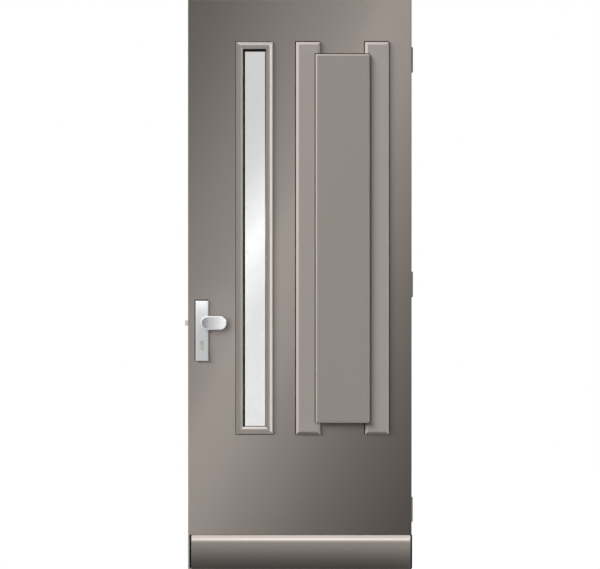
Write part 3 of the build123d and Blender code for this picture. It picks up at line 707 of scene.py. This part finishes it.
# The cylinder's outline: its head's radius, half its tail's width, where the head meets the tail, and
# the tail's foot, all from the axis of the plug. The hole in the plate is larger by the clearance.
CYLINDER_HEAD = 8.5 * MM
CYLINDER_TAIL = 5 * MM
CYLINDER_SHOULDER = 6.9 * MM
CYLINDER_FOOT = 24.5 * MM
HOLE_CLEARANCE = 0.25 * MM


def cylinder_reach(angle):
    """Distance from the cylinder's axis to its hole: a round head, or the straight tail below it."""
    head = CYLINDER_HEAD + HOLE_CLEARANCE
    tail = CYLINDER_TAIL + HOLE_CLEARANCE
    foot = CYLINDER_FOOT + HOLE_CLEARANCE
    down = np.maximum(-np.sin(angle), TINY)
    side = np.maximum(np.abs(np.cos(angle)), TINY)
    return np.maximum(head, np.where(np.sin(angle) < 0, np.minimum(tail / side, foot / down), 0))


def plate_outline(angle, left, right, low, high, inset):
    """Distance from the cylinder's axis to the plate's straight sides, drawn in by inset."""
    c, s = np.cos(angle), np.sin(angle)
    across = np.where(c > 0, right - inset, -left - inset) / np.maximum(np.abs(c), TINY)
    along = np.where(s > 0, high - inset, -low - inset) / np.maximum(np.abs(s), TINY)
    return np.minimum(across, along)


def backplate():
    """The outside plate: rings from the cylinder's hole out to the sides, with a slight crown in front.

    The crown is a parabola up the plate: the front falls back by crown (2z / height)^2 at its ends.
    """
    plug_low, plug_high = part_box("cylinder_plug_outer")
    axis_x, axis_z = (plug_low.x + plug_high.x) / 2, (plug_low.z + plug_high.z) / 2
    low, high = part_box("outer_backplate")
    left, right = low.x - axis_x, high.x - axis_x
    bottom, top = low.z - axis_z, high.z - axis_z
    ease = 0.8 * MM
    hole_ease = 0.15 * MM
    crown = 0.5 * MM
    corners = [math.atan2(z, x) for x in (left, right) for z in (bottom, top)]
    for z in (-CYLINDER_FOOT, -CYLINDER_SHOULDER):
        corners += [math.atan2(z, x) for x in (CYLINDER_TAIL, -CYLINDER_TAIL)]
    angle = np.unique(np.concatenate([np.linspace(-math.pi, math.pi, 121)[:-1], corners]))
    hole = cylinder_reach(angle)
    outer = plate_outline(angle, left, right, bottom, top, ease)
    rows = [(hole, high.y), (hole, low.y + hole_ease), (hole + hole_ease, low.y)]
    rows += [(hole + share * (outer - hole), low.y) for share in (0.25, 0.5, 0.75)]
    for turn in np.linspace(0, math.pi / 2, 5):
        inset = ease * (1 - math.sin(turn))
        y = low.y + ease * (1 - math.cos(turn))
        rows.append((plate_outline(angle, left, right, bottom, top, inset), y))
    rows.append((plate_outline(angle, left, right, bottom, top, 0), high.y))
    grid = []
    middle, half = (top + bottom) / 2, (top - bottom) / 2
    for reach, y in rows:
        z = reach * np.sin(angle)
        in_front = y < (low.y + high.y) / 2
        fall = crown * ((z - middle) / half) ** 2 if in_front else 0 * z
        grid.append(np.column_stack([axis_x + reach * np.cos(angle), y + fall, axis_z + z]))
    return shell(np.array(grid), wrap_rows=True)


piece("outside_backplate", [backplate()], "leaf", aluminium, ["outer_backplate"])

follower_low, follower_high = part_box("lock_follower")
spindle_x = (follower_low.x + follower_high.x) / 2
spindle_z = (follower_low.z + follower_high.z) / 2


def knob():
    """A dished oblong pad on an oval cranked neck.

    The pad is rings of a stadium: two half circles of radius R - inset, half_run out from the
    middle. Its front is the rim's quarter round plus a dish, dish (1 - (x / reach)^2) deep. The neck
    is ovals that widen and move sideways by t^2 (3 - 2t) on their way out, flared at the plate.
    """
    length = 96.3 * MM
    height = 49 * MM
    thickness = 14 * MM
    rim = 3 * MM
    back_ease = 5 * MM
    dish = 2.5 * MM
    pole = 0.01 * MM
    overhang = 4 * MM
    lift = 1 * MM
    centre_x = spindle_x - overhang + length / 2
    centre_z = spindle_z + lift
    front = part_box("knob")[0].y
    back = front + thickness
    radius, half_run = height / 2, (length - height) / 2
    reach = length / 2 - rim
    angle = np.linspace(0, 2 * math.pi, 97)[:-1]
    run = half_run * np.sign(np.cos(angle))
    run[np.abs(np.cos(angle)) < TINY] = 0
    quarter = np.linspace(0, math.pi / 2, 7)
    rows = [(inset, back, 0.0) for inset in (radius - pole, 0.6 * radius)]
    for t in quarter:
        rows.append((back_ease * (1 - math.sin(t)), back - back_ease * (1 - math.cos(t)), 0.0))
    for t in quarter:
        rows.append((rim * (1 - math.cos(t)), front + rim * (1 - math.sin(t)), math.sin(t)))
    rows += [(rim + (radius - rim) * s, front, 1.0) for s in (0.1, 0.25, 0.45, 0.7, 0.9, 0.9999)]
    grid = []
    for inset, y, dished in rows:
        x = run + (radius - inset) * np.cos(angle)
        z = (radius - inset) * np.sin(angle)
        hollow = dish * dished * np.maximum(0, 1 - (x / reach) ** 2)
        grid.append(np.column_stack([centre_x + x, y + hollow, centre_z + z]))
    pad = shell(np.array(grid))
    plate_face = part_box("outer_backplate")[0].y
    foot_shift, top_shift = 6 * MM, 19 * MM
    foot_half_x, top_half_x = 9 * MM, 18 * MM
    foot_half_z, top_half_z = 17 * MM, 20 * MM
    foot_flare = 1.5 * MM
    into_pad = 4 * MM
    grid = []
    for t in np.linspace(0, 1, 17):
        ease = t * t * (3 - 2 * t)
        flare = foot_flare * (1 - t) ** 4
        half_x = foot_half_x + (top_half_x - foot_half_x) * ease + flare
        half_z = foot_half_z + (top_half_z - foot_half_z) * ease + flare
        x = spindle_x + foot_shift + (top_shift - foot_shift) * ease + half_x * np.cos(angle)
        y = plate_face + (back - into_pad - plate_face) * t
        grid.append(np.column_stack([x, np.full(len(angle), y), centre_z + half_z * np.sin(angle)]))
    neck = shell(np.array(grid))
    return [pad, neck]


piece("fixed_knob", knob(), "leaf", knob_aluminium, ["knob"])


def inside_lever():
    """A round neck and a grip that tapers to its tip. The grip's sections are superellipses.

    |u|^2.6 + |v|^2.6 = 1 in its thickness and height; both ends close as quarter ellipses. The neck
    flares into the grip by the square of the distance past flare_from.
    """
    low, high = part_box("inside_lever")
    root_half_y, tip_half_y = 8 * MM, 5.5 * MM
    root_half_z, tip_half_z = 11 * MM, 9 * MM
    end_round = 5 * MM
    end_share = 0.04
    neck_radius = 9 * MM
    neck_flare = 2.5 * MM
    neck_squash = 0.18
    flare_from = 0.72
    middle_y = high.y - root_half_y
    angle = np.linspace(0, 2 * math.pi, 49)[:-1]
    power = 2 / 2.6
    least_close = 1e-4
    u = np.sign(np.cos(angle)) * np.abs(np.cos(angle)) ** power
    v = np.sign(np.sin(angle)) * np.abs(np.sin(angle)) ** power
    near_root = np.linspace(0, end_share, 7)
    between = np.linspace(0, 1, 31)[2:-2]
    near_tip = np.linspace(1 - end_share, 1, 7)
    grid = []
    for s in np.concatenate([near_root, between, near_tip]):
        x = low.x + s * (high.x - low.x)
        near = min(x - low.x, high.x - x, end_round)
        close = math.sqrt(max(least_close, 1 - (1 - near / end_round) ** 2))
        half_y = (root_half_y + s * (tip_half_y - root_half_y)) * close
        half_z = (root_half_z + s * (tip_half_z - root_half_z)) * close
        grid.append(np.column_stack([np.full(len(angle), x), middle_y + half_y * u, spindle_z + half_z * v]))
    grip = shell(np.array(grid))
    grid = []
    for s in np.linspace(0, 1, 21):
        flare = max(0.0, (s - flare_from) / (1 - flare_from)) ** 2
        radius = neck_radius + neck_flare * flare
        x = spindle_x + radius * np.cos(angle)
        y = np.full(len(angle), low.y + s * (middle_y - low.y))
        z = spindle_z + radius * (1 - neck_squash * flare) * np.sin(angle)
        grid.append(np.column_stack([x, y, z]))
    neck = shell(np.array(grid))
    return [grip, neck]


piece("inside_lever_handle", inside_lever(), "lever", aluminium, ["inside_lever"])


# Screws


def screw(place, direction, head_radius, shank_radius, head_height, length):
    """A countersunk screw with a cross recess, as rings about its axis.

    The head's face sinks by the recess depth times exp(-(n / w)^4), n being the smaller of the two
    distances to the cross's arms, and fades out towards the rim as 1 / (1 + exp(r (share - s))).
    """
    axis = Vector(direction)
    side = axis.orthogonal().normalized()
    up = axis.cross(side)
    angle = np.linspace(0, 2 * math.pi, 33)[:-1]
    arm = 0.16 * head_radius
    recess = 0.45 * head_height
    rim_drop = 0.1 * MM
    cross_share = 0.6
    fade_rate = 24
    rows = []
    for share in (0.001, 0.12, 0.24, 0.36, 0.48, 0.58, 0.68, 0.8, 0.93, 1.0):
        a = share * head_radius * np.cos(angle)
        b = share * head_radius * np.sin(angle)
        nearest = np.minimum(np.abs(a), np.abs(b))
        fade = 1 / (1 + math.exp((share - cross_share) * fade_rate))
        rows.append((a, b, -recess * fade * np.exp(-((nearest / arm) ** 4))))
    for radius, below in (
        (head_radius, -rim_drop),
        (shank_radius, -head_height),
        (shank_radius, -length + shank_radius),
        (0.05 * shank_radius, -length),
    ):
        rows.append((radius * np.cos(angle), radius * np.sin(angle), np.full(len(angle), below)))
    base = np.array(place)
    grid = [
        base + np.outer(a, np.array(side)) + np.outer(b, np.array(up)) + np.outer(h, np.array(axis))
        for a, b, h in rows
    ]
    return shell(np.array(grid))


def solid_boxes(node):
    """Low and high corners of each separate solid in a CAD node, from the loose parts of its mesh."""
    work = bmesh.new()
    work.from_mesh(nodes[node].data)
    bmesh.ops.remove_doubles(work, verts=work.verts, dist=WELD / 2)
    seen, boxes = set(), []
    for start in work.verts:
        if start in seen:
            continue
        group, queue = [], [start]
        seen.add(start)
        while queue:
            vertex = queue.pop()
            group.append(vertex.co.copy())
            for edge in vertex.link_edges:
                other = edge.other_vert(vertex)
                if other not in seen:
                    seen.add(other)
                    queue.append(other)
        points = np.array([tuple(co) for co in group])
        boxes.append((Vector(points.min(0)), Vector(points.max(0))))
    work.free()
    return boxes


# Screws by node: the way the head faces, then head radius, shank radius, head height and length in mm
SCREWS = {
    "hinge_screws": ((1, 0, 0), 4.4, 2.4, 1.7, 30.0),
    "faceplate_screws": ((-1, 0, 0), 3.8, 2.0, 2.0, 30.0),
    "cylinder_screw": ((-1, 0, 0), 3.8, 2.5, 2.0, 55.5),
    "moulding_screws": ((0, 1, 0), 3.5, 1.75, 2.0, 35.0),
    "plate_bolts": ((0, 1, 0), 5.5, 3.0, 3.0, 69.0),
}
for node, (direction, *sizes) in SCREWS.items():
    shells = []
    for low, high in solid_boxes(node):
        centre = (low + high) / 2
        head = [(low, centre, high)[way + 1][i] for i, way in enumerate(direction)]
        shells.append(screw(head, direction, *[size * MM for size in sizes]))
    piece(f"cross_recessed_{node}", shells, "leaf", zinc_steel, [node])


# Lights

# A far lamp stands this far off, so that its light is almost parallel; the band lights are nearer
SUN_DISTANCE = 40.0
BAND_DISTANCE = 6.0

LEAF_MIDDLE = Vector((0, leaf_face, (leaf_low.z + leaf_high.z) / 2))


def link_light(light, receivers, blockers=None):
    """Let a light fall on the named receivers alone, and let only the named blockers cast shadows in it."""
    for role, names in (("receiver", receivers), ("blocker", blockers)):
        if names:
            group = bpy.data.collections.new(f"{light.name}_{role}s")
            for name in names:
                group.objects.link(bpy.data.objects[name])
            setattr(light.light_linking, f"{role}_collection", group)


def disc_lamp(name, target, travel, distance, level, size):
    """A disc at a distance from its target, whose light travels along a direction to it.

    The light of a disc of power P at distance d is P / (pi d)^2 of the level at which a surface
    square to it shows its own colour.
    """
    lamp = bpy.data.lights.new(name, "AREA")
    lamp.shape = "DISK"
    lamp.size = size
    lamp.energy = level * (math.pi * distance) ** 2
    made = bpy.data.objects.new(name, lamp)
    made.location = target - travel * distance
    made.rotation_euler = (-travel).to_track_quat("Z", "Y").to_euler()
    made.visible_camera = False
    made.visible_transmission = False
    bpy.context.scene.collection.objects.link(made)
    return made


def sun(name, direction, level, softness):
    """A far disc in a direction from the leaf, softness degrees across."""
    size = 2 * SUN_DISTANCE * math.tan(math.radians(softness / 2))
    return disc_lamp(name, LEAF_MIDDLE, -Vector(direction).normalized(), SUN_DISTANCE, level, size)


def from_face(tilt, turn):
    """A direction tilt degrees away from the outer face's normal, towards turn: 0 right, 90 up, 180 left."""
    t, a = math.radians(tilt), math.radians(turn)
    return (math.sin(t) * math.cos(a), -math.cos(t), math.sin(t) * math.sin(a))


SKINS = ["outer_skin"]
MOULDINGS = [o.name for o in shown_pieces() if "glazing_moulding" in o.name]
SILL = ["outer_bottom_glazing_moulding"]
BAR = ["weather_bar_at_the_foot"]
GASKET = ["outer_glazing_gasket"]
STRIPS = ["bevelled_left_strip", "bevelled_right_strip"]
PANEL = ["lapped_centre_panel"]
BOARDS = STRIPS + PANEL
PLATE = ["outside_backplate"]
KNOB = ["fixed_knob"]
PANES = ["outer_pane", "inner_pane"]
# The painted shade lines take none of the front lamps, so they stay dark
UNLIT = ["painted_shade_line_round_the_boards"]
RELIEF = MOULDINGS + BAR + BOARDS + PLATE
APART = SKINS + MOULDINGS + BAR + GASKET + BOARDS + KNOB + UNLIT
OTHERS = [o.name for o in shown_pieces() if o.name not in APART]

# Each light: what it falls on, tilt from the outer face's normal, turn, level, softness, what may block it.
# The photograph's relief is lit from a different side piece by piece, so each group has lights of its own.
SUNS = [
    ("board_key_steep", BOARDS + OTHERS, 40, 135, 0.1, 14, None),
    ("board_key_middle", BOARDS + OTHERS, 56, 135, 0.42, 14, None),
    ("board_key_low", BOARDS + OTHERS, 66, 135, 0.7, 12, None),
    ("board_key_raking", BOARDS + OTHERS, 75, 135, 1.15, 10, None),
    ("board_right_edge_light", BOARDS, 88, 0, 1.05, 3, None),
    ("strip_foot_light", STRIPS, 86, 270, 0.22, 6, BOARDS),
    ("panel_foot_light", PANEL, 88, 270, 0.8, 3, BOARDS),
    ("panel_bevel_light", PANEL, 86, 135, 0.32, 6, None),
    ("moulding_top_light", MOULDINGS, 82, 94, 0.75, 8, MOULDINGS),
    ("moulding_key", MOULDINGS, 60, 135, 0.6, 10, MOULDINGS),
    ("moulding_right_light", MOULDINGS, 50, 2, 0.65, 6, MOULDINGS),
    ("moulding_right_edge_light", MOULDINGS, 89.3, 2, 1.0, 6, MOULDINGS),
    ("moulding_left_edge_light", MOULDINGS, 80, 180, 0.1, 8, MOULDINGS),
    ("moulding_foot_light", MOULDINGS, 80, 270, 0.36, 8, MOULDINGS),
    ("moulding_sill_light", SILL, 82, 94, 0.5, 8, MOULDINGS),
    ("bar_front_light", BAR, 0, 0, 0.07, 20, BAR),
    ("bar_top_light", BAR, 68, 90, 0.43, 24, BAR),
    ("bar_raking_light", BAR, 74, 90, 2.13, 24, BAR),
    ("gasket_light", GASKET, 20, 135, 0.7, 6, MOULDINGS),
    ("knob_top_light", KNOB, 60, 100, 0.35, 50, None),
    ("knob_right_light", KNOB, 62, 25, 0.4, 30, None),
]
for name, receivers, tilt, turn, level, softness, blockers in SUNS:
    link_light(sun(name, from_face(tilt, turn), level, softness), receivers, blockers)

# From behind, above and to the right, for the inner face
BEHIND = (0.45, 0.75, 0.5)
sun("back_light", BEHIND, 0.95, 20)

# Raised pieces throw no light back onto the skin beside them, where it would fill their soft shade
for name in RELIEF:
    bpy.data.objects[name].visible_diffuse = False

# A raking band of light lies across the leaf, from its lower left to its upper right. Its brightness
# at a distance across the band, in metres, as the paint would show it without its own colour:
BAND_FOOT = Vector((-0.3684, leaf_face, 0.4423))
BAND_HEAD = Vector((0.3698, leaf_face, 2.115))
BAND = [
    (-0.9, 0.16),
    (-0.8, 0.2),
    (-0.7, 0.285),
    (-0.6, 0.37),
    (-0.5, 0.475),
    (-0.4, 0.59),
    (-0.3, 0.7),
    (-0.2, 0.815),
    (-0.1, 0.95),
    (0.0, 1.1),
    (0.1, 1.02),
    (0.2, 0.86),
    (0.3, 0.7),
    (0.4, 0.55),
    (0.5, 0.42),
    (0.6, 0.32),
    (0.7, 0.23),
    (0.8, 0.145),
    (0.9, 0.09),
]

# All band lights together are raised by this, for what the relief and the lamps' width take away
BAND_GAIN = 1.035

# Round the knob the raking lights fade and the steep one grows, from the far to the near distance
KNOB_SPOT = Vector((-0.3, leaf_face, 0.905))
KNOB_NEAR = 0.07
KNOB_FAR = 0.2

band_run = (BAND_HEAD - BAND_FOOT).normalized()
band_across = Vector((band_run.z, 0, -band_run.x))
into_leaf = Vector((0, 1, 0))


def curve(tree, source, socket, points, low, high, top):
    """A float curve through points (x, value), with x from low to high and values up to top."""
    place = add_node(
        tree,
        "ShaderNodeMapRange",
        inputs={"Value": (source, socket), "From Min": low, "From Max": high},
    )
    made = add_node(tree, "ShaderNodeFloatCurve", inputs={"Value": (place, "Result")})
    line = made.mapping.curves[0]
    while len(line.points) < len(points):
        line.points.new(0.5, 0.5)
    for spot, (x, value) in zip(line.points, points):
        spot.location = ((x - low) / (high - low), value / top)
        spot.handle_type = "AUTO"
    made.mapping.update()
    return made


def band_light(name, tilt, share, width, blockers, by_knob):
    """A disc lamp whose beam is graded across the band, and by by_knob round the knob.

    A ray that leaves the lamp at P along D meets the skin at P + D (face - P.y) / D.y. The curve
    gives the level for that spot's distance across the band, divided by the fall-off there.
    Geometry's Incoming is that ray's own direction here, in a lamp, so nothing follows the camera.
    """
    t = math.radians(tilt)
    travel = band_across * math.sin(t) + into_leaf * math.cos(t)
    middle = (BAND_FOOT + BAND_HEAD) / 2
    made = disc_lamp(name, middle, travel, BAND_DISTANCE, share * BAND_GAIN, width)
    made.data.use_nodes = True
    tree = made.data.node_tree
    tree.nodes.clear()
    geometry = add_node(tree, "ShaderNodeNewGeometry")
    start = add_node(tree, "ShaderNodeSeparateXYZ", inputs={"Vector": (geometry, "Position")})
    heading = add_node(tree, "ShaderNodeSeparateXYZ", inputs={"Vector": (geometry, "Incoming")})
    depth = add_node(tree, "ShaderNodeMath", {"operation": "SUBTRACT"}, {0: leaf_face, 1: (start, "Y")})
    reach = add_node(
        tree, "ShaderNodeMath", {"operation": "DIVIDE"}, {0: (depth, "Value"), 1: (heading, "Y")}
    )
    spot = add_node(
        tree,
        "ShaderNodeVectorMath",
        {"operation": "MULTIPLY_ADD"},
        {0: (geometry, "Incoming"), 1: (reach, "Value"), 2: (geometry, "Position")},
    )
    offset = add_node(
        tree, "ShaderNodeVectorMath", {"operation": "SUBTRACT"}, {0: (spot, "Vector"), 1: tuple(BAND_FOOT)}
    )
    across = add_node(
        tree,
        "ShaderNodeVectorMath",
        {"operation": "DOT_PRODUCT"},
        {0: (offset, "Vector"), 1: tuple(band_across)},
    )
    levels = []
    for x, value in BAND:
        ray = band_across * x + travel * BAND_DISTANCE
        facing = ray.normalized()
        fall_off = (facing @ into_leaf) * (facing @ travel) * BAND_DISTANCE**2 / ray.length_squared
        levels.append((x, value / fall_off))
    top = max(value for x, value in levels)
    graded = curve(tree, across, "Value", levels, BAND[0][0], BAND[-1][0], top)
    away = add_node(
        tree, "ShaderNodeVectorMath", {"operation": "DISTANCE"}, {0: (spot, "Vector"), 1: tuple(KNOB_SPOT)}
    )
    local = add_node(
        tree,
        "ShaderNodeMapRange",
        {"interpolation_type": "SMOOTHSTEP"},
        {
            "Value": (away, "Value"),
            "From Min": KNOB_NEAR,
            "From Max": KNOB_FAR,
            "To Min": by_knob * top,
            "To Max": top,
        },
    )
    strength = add_node(
        tree, "ShaderNodeMath", {"operation": "MULTIPLY"}, {0: (graded, "Value"), 1: (local, "Result")}
    )
    light = add_node(tree, "ShaderNodeEmission", inputs={"Strength": (strength, "Value")})
    add_node(tree, "ShaderNodeOutputLight", inputs={"Surface": (light, "Emission")})
    link_light(made, SKINS, blockers)


# Raking light draws long soft shade beside the relief, and steep light keeps it from being black. Each:
# tilt, share of the band's level, the disc's width in metres, what may block it, and its gain by the knob.
band_light("band_light_raking", 71, 0.19, 1.1, RELIEF, 0.3)
band_light("band_light_low", 63, 0.23, 1.3, RELIEF, 0.3)
band_light("band_light_middle", 52, 0.31, 1.5, RELIEF, 0.3)
band_light("band_light_steep", 22, 0.27, 4.2, RELIEF + KNOB, 2.9)


# World and floor

WHITE = (1, 1, 1, 1)


def any_ray(tree, *kinds):
    """An output that is 1 for a ray of any of the kinds and 0 for the rest, as (node, output)."""
    path = add_node(tree, "ShaderNodeLightPath")
    found = (path, kinds[0])
    for kind in kinds[1:]:
        either = add_node(tree, "ShaderNodeMath", {"operation": "MAXIMUM"}, {0: found, 1: (path, kind)})
        found = (either, "Value")
    return found


def studio_world():
    """White to the camera and through glass, soft grey as light, and a gradient in reflections."""
    soft_level = 0.11
    bright_side = (-0.8, 0.0, 0.6)
    world = bpy.data.worlds.new("studio")
    bpy.context.scene.world = world
    world.use_nodes = True
    tree = world.node_tree
    tree.nodes.clear()
    where = add_node(tree, "ShaderNodeTexCoord")
    slope = add_node(
        tree,
        "ShaderNodeVectorMath",
        {"operation": "DOT_PRODUCT"},
        {0: (where, "Generated"), 1: bright_side},
    )
    gradient = add_node(
        tree,
        "ShaderNodeMapRange",
        {"interpolation_type": "SMOOTHSTEP"},
        {"Value": (slope, "Value"), "From Min": -0.18, "From Max": 0.2, "To Min": 0.2, "To Max": 1.25},
    )
    strength = add_node(
        tree,
        "ShaderNodeMix",
        {"data_type": "FLOAT"},
        {"Factor": any_ray(tree, "Is Glossy Ray"), "A": soft_level, "B": (gradient, "Result")},
    )
    seen = any_ray(tree, "Is Camera Ray", "Is Transmission Ray")
    light = add_node(
        tree, "ShaderNodeBackground", inputs={"Color": WHITE, "Strength": (strength, "Result")}
    )
    white = add_node(tree, "ShaderNodeBackground", inputs={"Color": WHITE, "Strength": 1.0})
    mixed = add_node(
        tree,
        "ShaderNodeMixShader",
        inputs={0: seen, 1: (light, "Background"), 2: (white, "Background")},
    )
    add_node(tree, "ShaderNodeOutputWorld", inputs={"Surface": (mixed, "Shader")})


studio_world()


def floor():
    """A pale floor just under the leaf. It looks white, keeps shadows, and throws little light back up."""
    half = 7.0
    top = -4 * MM
    as_light = (0.22, 0.22, 0.22, 1)
    as_seen = (0.4, 0.4, 0.4, 1)
    glow_level = 0.78
    mesh = bpy.data.meshes.new("floor")
    corners = [(-half, -half, top), (half, -half, top), (half, half, top), (-half, half, top)]
    mesh.from_pydata(corners, [], [(0, 1, 2, 3)])
    made, tree, shader = surface(
        "pale_floor", {"Roughness": 0.9, "Specular IOR Level": 0.0, "Emission Color": WHITE}
    )
    seen = any_ray(tree, "Is Camera Ray", "Is Transmission Ray", "Is Glossy Ray")
    colour = add_node(
        tree, "ShaderNodeMix", {"data_type": "RGBA"}, {"Factor": seen, "A": as_light, "B": as_seen}
    )
    tree.links.new(colour.outputs["Result"], shader.inputs["Base Color"])
    glow = add_node(tree, "ShaderNodeMath", {"operation": "MULTIPLY"}, {0: seen, 1: glow_level})
    tree.links.new(glow.outputs["Value"], shader.inputs["Emission Strength"])
    mesh.materials.append(made)
    ground = bpy.data.objects.new("floor", mesh)
    bpy.context.scene.collection.objects.link(ground)


floor()


# Cards that the glass and the plate mirror, and the camera

# The photograph's width in pixels, the metres that a pixel covers on the leaf, and how many pixels the
# leaf's middle lies left of the picture's
IMAGE_WIDTH = 600
PIXEL = 3.712 * MM
LEAF_OFFSET = 0.2

# Square on to the outer face and far off, so that edges show almost no perspective
CAMERA_DISTANCE = 14.0
SENSOR_WIDTH = 36.0

# The mirror of the sky in the glass: brightest in a slanting band, and brighter below it than above, as
# (metres across the band, share of the card's level)
GLASS_BAND = [
    (-0.33, 0.0),
    (-0.28, 0.035),
    (-0.235, 0.09),
    (-0.19, 0.17),
    (-0.14, 0.35),
    (-0.094, 0.57),
    (-0.047, 0.79),
    (0.0, 1.0),
    (0.047, 0.84),
    (0.094, 0.68),
    (0.14, 0.51),
    (0.19, 0.4),
    (0.24, 0.4),
    (0.33, 0.45),
]

# The mirror in the plate: bright above the knob and fading below it, as (metres up, share of the level)
PLATE_GLOW = [(-0.12, 0.0), (-0.03, 0.0), (0.0, 0.12), (0.03, 0.6), (0.06, 0.79), (0.12, 0.86)]


def card(name, low, high, y, receivers, points, across, middle, level):
    """A sheet that glows and lets all else through, seen only in the mirror of the named pieces.

    Its glow follows the curve points along the direction across, measured from middle.
    """
    mesh = bpy.data.meshes.new(name)
    mesh.from_pydata(corner_ring(low[0], high[0], low[1], high[1], y).tolist(), [], [(0, 1, 2, 3)])
    made = bpy.data.materials.new(f"{name}_glow")
    made.use_nodes = True
    tree = made.node_tree
    tree.nodes.clear()
    where = add_node(tree, "ShaderNodeTexCoord")
    offset = add_node(
        tree, "ShaderNodeVectorMath", {"operation": "SUBTRACT"}, {0: (where, "Object"), 1: middle}
    )
    along = add_node(
        tree, "ShaderNodeVectorMath", {"operation": "DOT_PRODUCT"}, {0: (offset, "Vector"), 1: across}
    )
    graded = curve(tree, along, "Value", points, points[0][0], points[-1][0], 1.0)
    strength = add_node(tree, "ShaderNodeMath", {"operation": "MULTIPLY"}, {0: (graded, "Value"), 1: level})
    light = add_node(tree, "ShaderNodeEmission", inputs={"Strength": (strength, "Value")})
    clear = add_node(tree, "ShaderNodeBsdfTransparent")
    both = add_node(tree, "ShaderNodeAddShader", inputs={0: (light, "Emission"), 1: (clear, "BSDF")})
    add_node(tree, "ShaderNodeOutputMaterial", inputs={"Surface": (both, "Shader")})
    mesh.materials.append(made)
    sheet = bpy.data.objects.new(name, mesh)
    bpy.context.scene.collection.objects.link(sheet)
    sheet.visible_camera = False
    sheet.visible_diffuse = False
    sheet.visible_shadow = False
    link_light(sheet, receivers)


def glass_card():
    """The card mirrored by the glass, which shows at p what lies at (1 + d / D) p on a card d in front.

    D is the camera's distance, and p is measured from the leaf's middle, which the camera faces.
    """
    distance = 2.0
    level = 3.3
    grown = 1 + distance / CAMERA_DISTANCE
    slant = math.radians(39.5)
    spot_x, spot_z = -0.1655, 1.223
    middle = (spot_x * grown, 0, LEAF_MIDDLE.z + (spot_z - LEAF_MIDDLE.z) * grown)
    across = (math.cos(slant), 0, -math.sin(slant))
    points = [(x * grown, value) for x, value in GLASS_BAND]
    y = leaf_face - distance
    card("sky_card", (-2.0, -1.5), (1.6, 3.5), y, PANES, points, across, middle, level)


def plate_card():
    """The card mirrored by the backplate, close in front of it."""
    y = leaf_face - 0.35
    level = 0.75
    middle = (0, 0, 0.93)
    upwards = (0, 0, 1)
    card("plate_card", (-0.8, 0.3), (0.1, 1.6), y, PLATE, PLATE_GLOW, upwards, middle, level)


glass_card()
plate_card()

camera_data = bpy.data.cameras.new("camera")
camera_data.sensor_width = SENSOR_WIDTH
camera_data.lens = SENSOR_WIDTH * CAMERA_DISTANCE / (IMAGE_WIDTH * PIXEL)
camera_data.clip_end = 60.0
camera = bpy.data.objects.new("camera", camera_data)
camera.location = (LEAF_OFFSET * PIXEL, leaf_face - CAMERA_DISTANCE, LEAF_MIDDLE.z)
camera.rotation_euler = (math.pi / 2, 0, 0)
bpy.context.scene.collection.objects.link(camera)
bpy.context.scene.camera = camera
bpy.context.scene.view_settings.view_transform = "Standard"
